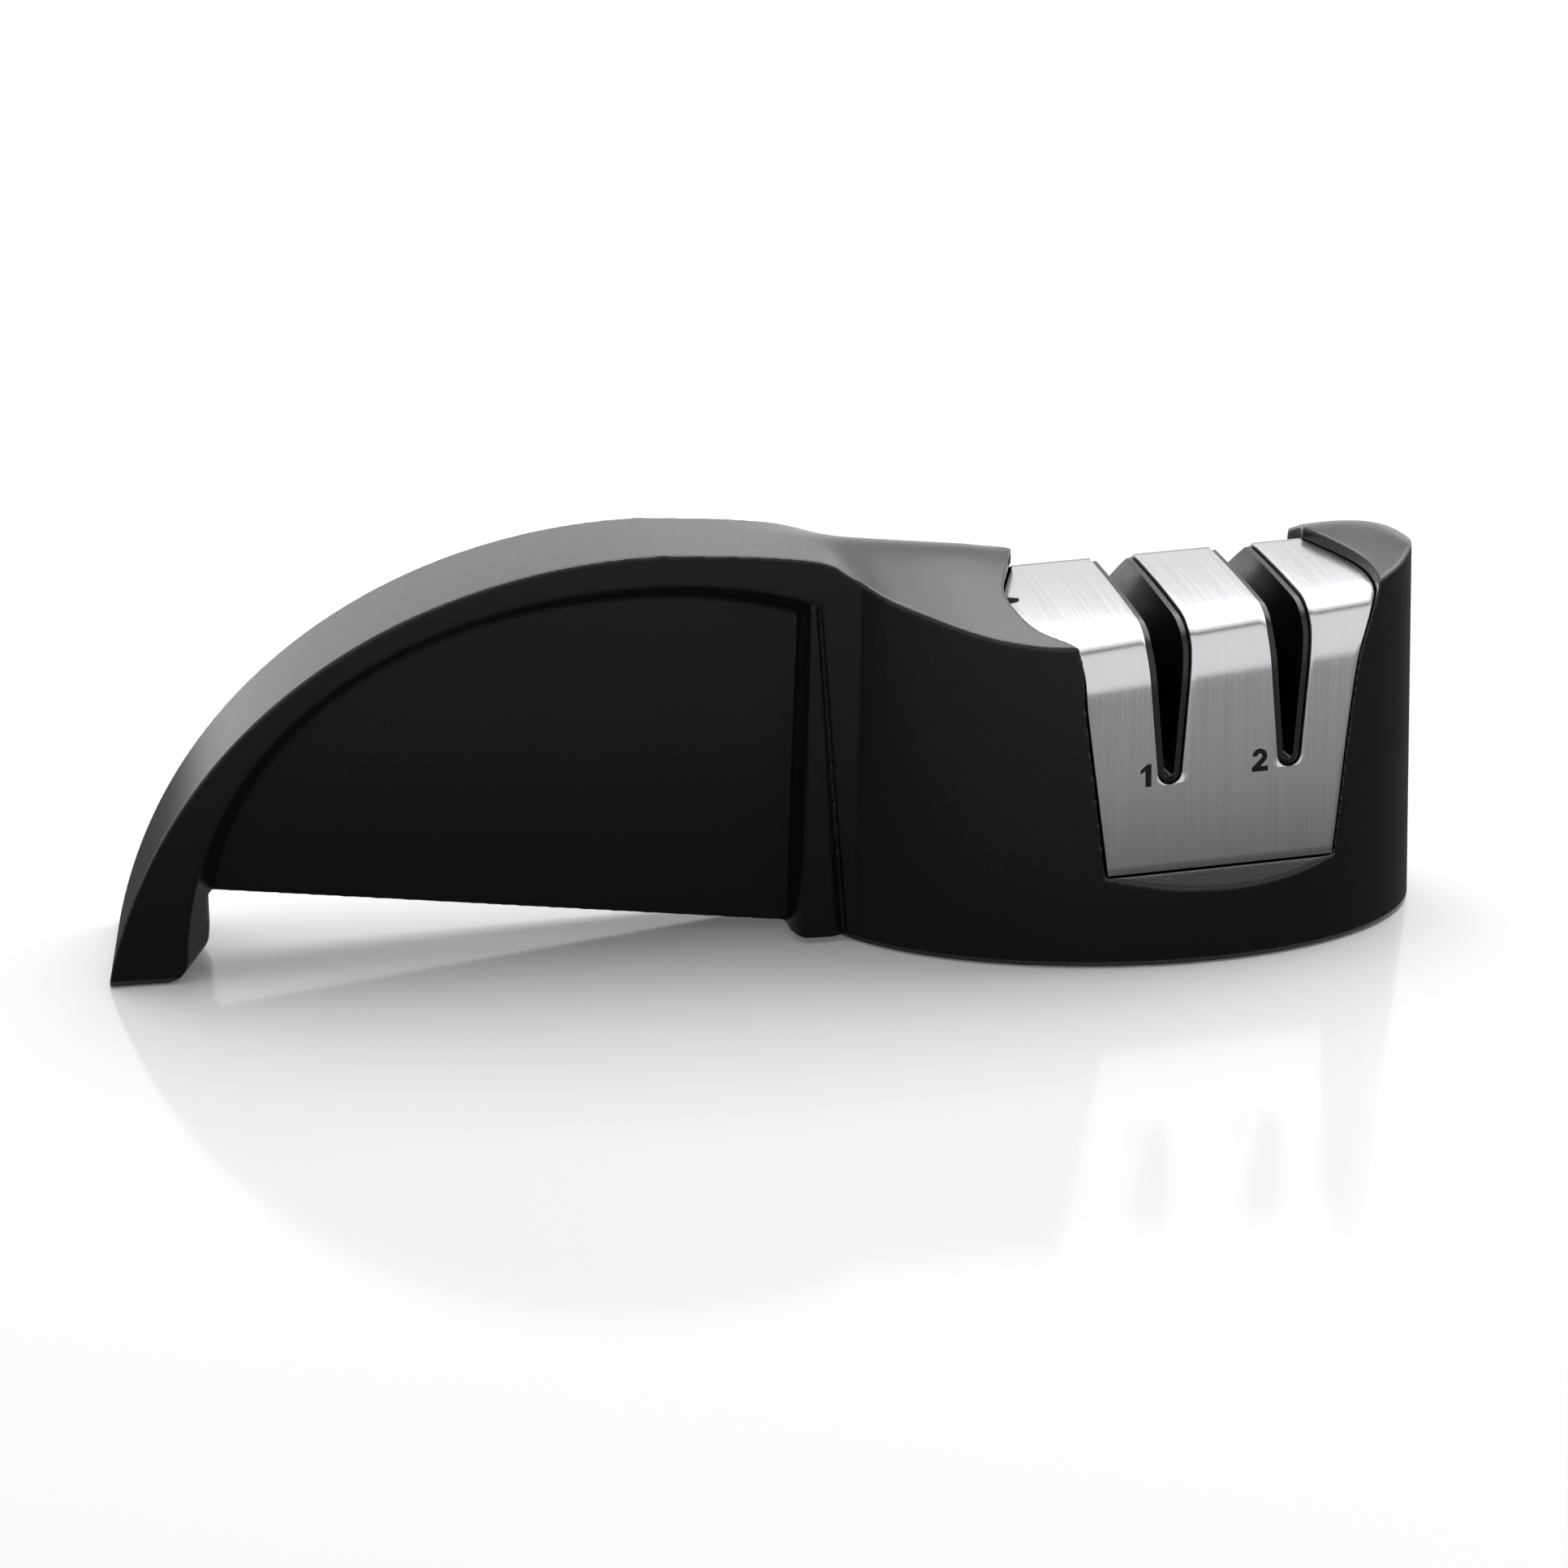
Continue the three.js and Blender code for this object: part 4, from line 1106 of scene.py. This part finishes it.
for x, y, inward in tabs["places"]:
    for side, label in ((-1, "front"), (1, "back")):
        end = "left" if inward > 0 else "right"
        finishPiece(makeTab(x, side * y, side, inward), f"sheet_tab_{end}_{label}", "base", blackAbs)


# Camera at the photograph's view, for an image of 1932 x 1932

view = {"imageSize": 1932, "focalPixels": 3300, "sensor": 36.0, "clip": (0.01, 50),
        "eye": Vector((-74.03, -403.47, 145.76)), "target": Vector((0.39, 0.0, 21.89))}
lens = bpy.data.cameras.new("camera")
lens.sensor_width = view["sensor"]
lens.lens = view["sensor"] * view["focalPixels"] / view["imageSize"]
lens.clip_start, lens.clip_end = view["clip"]
camera = bpy.data.objects.new("camera", lens)
camera.location = view["eye"] * mm
camera.rotation_euler = (view["target"] - view["eye"]).to_track_quat("-Z", "Y").to_euler()
scene.collection.objects.link(camera)
scene.camera = camera


# Studio: a white floor that runs out into white, a softbox overhead, and cards for reflections only

studio = {"floorSize": 12.0, "floor": "#eaeaea", "floorRough": 0.1, "floorLift": 0.1, "ambient": 0.27,
          "fade": (0.35, 0.9)}      # the floor turns plain white between these distances
softbox = {"size": (2.1, 1.15), "place": (0.55, 0.45, 0.95), "watts": 22.8}
# The sheet in the photograph mirrors a mid-grey table in front of it and a dark gap over its bend.
# The greys run from one place in y to another; the table card falls darker towards the object, painted shade for the
# object's shadow and its mirrored black body.
cards = {
    "table": {"corners": [(-1.5, -3, 0.001), (1.5, -3, 0.001), (1.5, 0.3, 0.001), (-1.5, 0.3, 0.001)],
              "greys": (0.33, 0.1), "reach": (-0.25, -0.05)},
    "gap": {"corners": [(-1.5, -0.21, 0.62), (1.5, -0.21, 0.62), (1.5, -0.28, 0.58), (-1.5, -0.28, 0.58)],
            "greys": (0.1, 0.1), "reach": (-1.0, 0.0)},
}


def whiteWhereShown(tree):  # 1 for what the camera, a mirror or glass sees, 0 for what lights things
    seen = addNode(tree, "ShaderNodeLightPath")
    mirrored = addNode(tree, "ShaderNodeMath", {"operation": "MAXIMUM"},
                       {0: seen.outputs["Is Camera Ray"], 1: seen.outputs["Is Glossy Ray"]})
    return addNode(tree, "ShaderNodeMath", {"operation": "MAXIMUM"},
                   {0: mirrored.outputs[0], 1: seen.outputs["Is Transmission Ray"]}).outputs[0]


def makeFloor():
    half = studio["floorSize"] / 2
    corners = [(-half, -half, 0), (half, -half, 0), (half, half, 0), (-half, half, 0)]
    floor = newPiece("floor", corners, [(0, 1, 2, 3)])
    material, tree = newMaterial("pale studio floor")
    shown = whiteWhereShown(tree)
    lift = addNode(tree, "ShaderNodeMath", {"operation": "MULTIPLY", 1: studio["floorLift"]}, {0: shown})
    shader = addNode(tree, "ShaderNodeBsdfPrincipled",
                     {"Base Color": srgb(studio["floor"]), "Roughness": studio["floorRough"],
                      "Emission Color": (1, 1, 1, 1)}, {"Emission Strength": lift.outputs[0]})
    place = addNode(tree, "ShaderNodeTexCoord").outputs["Object"]
    away = addNode(tree, "ShaderNodeVectorMath", {"operation": "LENGTH"}, {0: place})
    fade = addNode(tree, "ShaderNodeMapRange", {"interpolation_type": "SMOOTHSTEP", "From Min": studio["fade"][0],
                                                "From Max": studio["fade"][1]}, {"Value": away.outputs["Value"]})
    share = addNode(tree, "ShaderNodeMath", {"operation": "MULTIPLY"}, {0: fade.outputs["Result"], 1: shown})
    white = addNode(tree, "ShaderNodeEmission", {"Color": (1, 1, 1, 1), "Strength": 1.0})
    mixed = addNode(tree, "ShaderNodeMixShader", links={0: share.outputs[0], 1: shader.outputs["BSDF"],
                                                        2: white.outputs["Emission"]})
    closeMaterial(tree, mixed, "Shader")
    floor.data.materials.append(material)


def makeCard(name, card):
    mesh = bpy.data.meshes.new(name + "_card")
    mesh.from_pydata(card["corners"], [], [(0, 1, 2, 3)])
    piece = bpy.data.objects.new(name + "_card", mesh)
    scene.collection.objects.link(piece)
    material, tree = newMaterial(name + " card")
    place = addNode(tree, "ShaderNodeSeparateXYZ",
                    links={"Vector": addNode(tree, "ShaderNodeTexCoord").outputs["Object"]})
    # painted shade: the card's glow follows its greys along y, so the table card darkens towards the object
    grey = ranged(tree, place.outputs["Y"], *card["greys"], *card["reach"])
    glow = addNode(tree, "ShaderNodeEmission", {"Color": (1, 1, 1, 1)}, {"Strength": grey})
    glass = addNode(tree, "ShaderNodeBsdfTransparent")
    behind = addNode(tree, "ShaderNodeNewGeometry").outputs["Backfacing"]  # the floor looks through it
    mixed = addNode(tree, "ShaderNodeMixShader", links={0: behind, 1: glow.outputs["Emission"],
                                                        2: glass.outputs["BSDF"]})
    closeMaterial(tree, mixed, "Shader")
    piece.data.materials.append(material)
    for ray in ("camera", "diffuse", "transmission", "shadow"):
        setattr(piece, "visible_" + ray, False)


def makeWorld():
    world = bpy.data.worlds.new("white studio")
    world.use_nodes = True
    tree = world.node_tree
    tree.nodes.clear()
    level = ranged(tree, whiteWhereShown(tree), studio["ambient"], 1.0)
    sky = addNode(tree, "ShaderNodeBackground", {"Color": (1, 1, 1, 1)}, {"Strength": level})
    addNode(tree, "ShaderNodeOutputWorld", links={"Surface": sky.outputs["Background"]})
    world.cycles.sampling_method = "NONE"  # so that the cards hide it from the reflections
    scene.world = world


def makeSoftbox():
    light = bpy.data.lights.new("softbox", "AREA")
    light.shape = "RECTANGLE"
    light.size, light.size_y = softbox["size"]
    light.energy = softbox["watts"]
    lamp = bpy.data.objects.new("softbox", light)
    lamp.location = softbox["place"]
    scene.collection.objects.link(lamp)


makeFloor()
makeWorld()
makeSoftbox()
for name, card in cards.items():
    makeCard(name, card)
scene.view_settings.view_transform = "Standard"
print("studio lit")
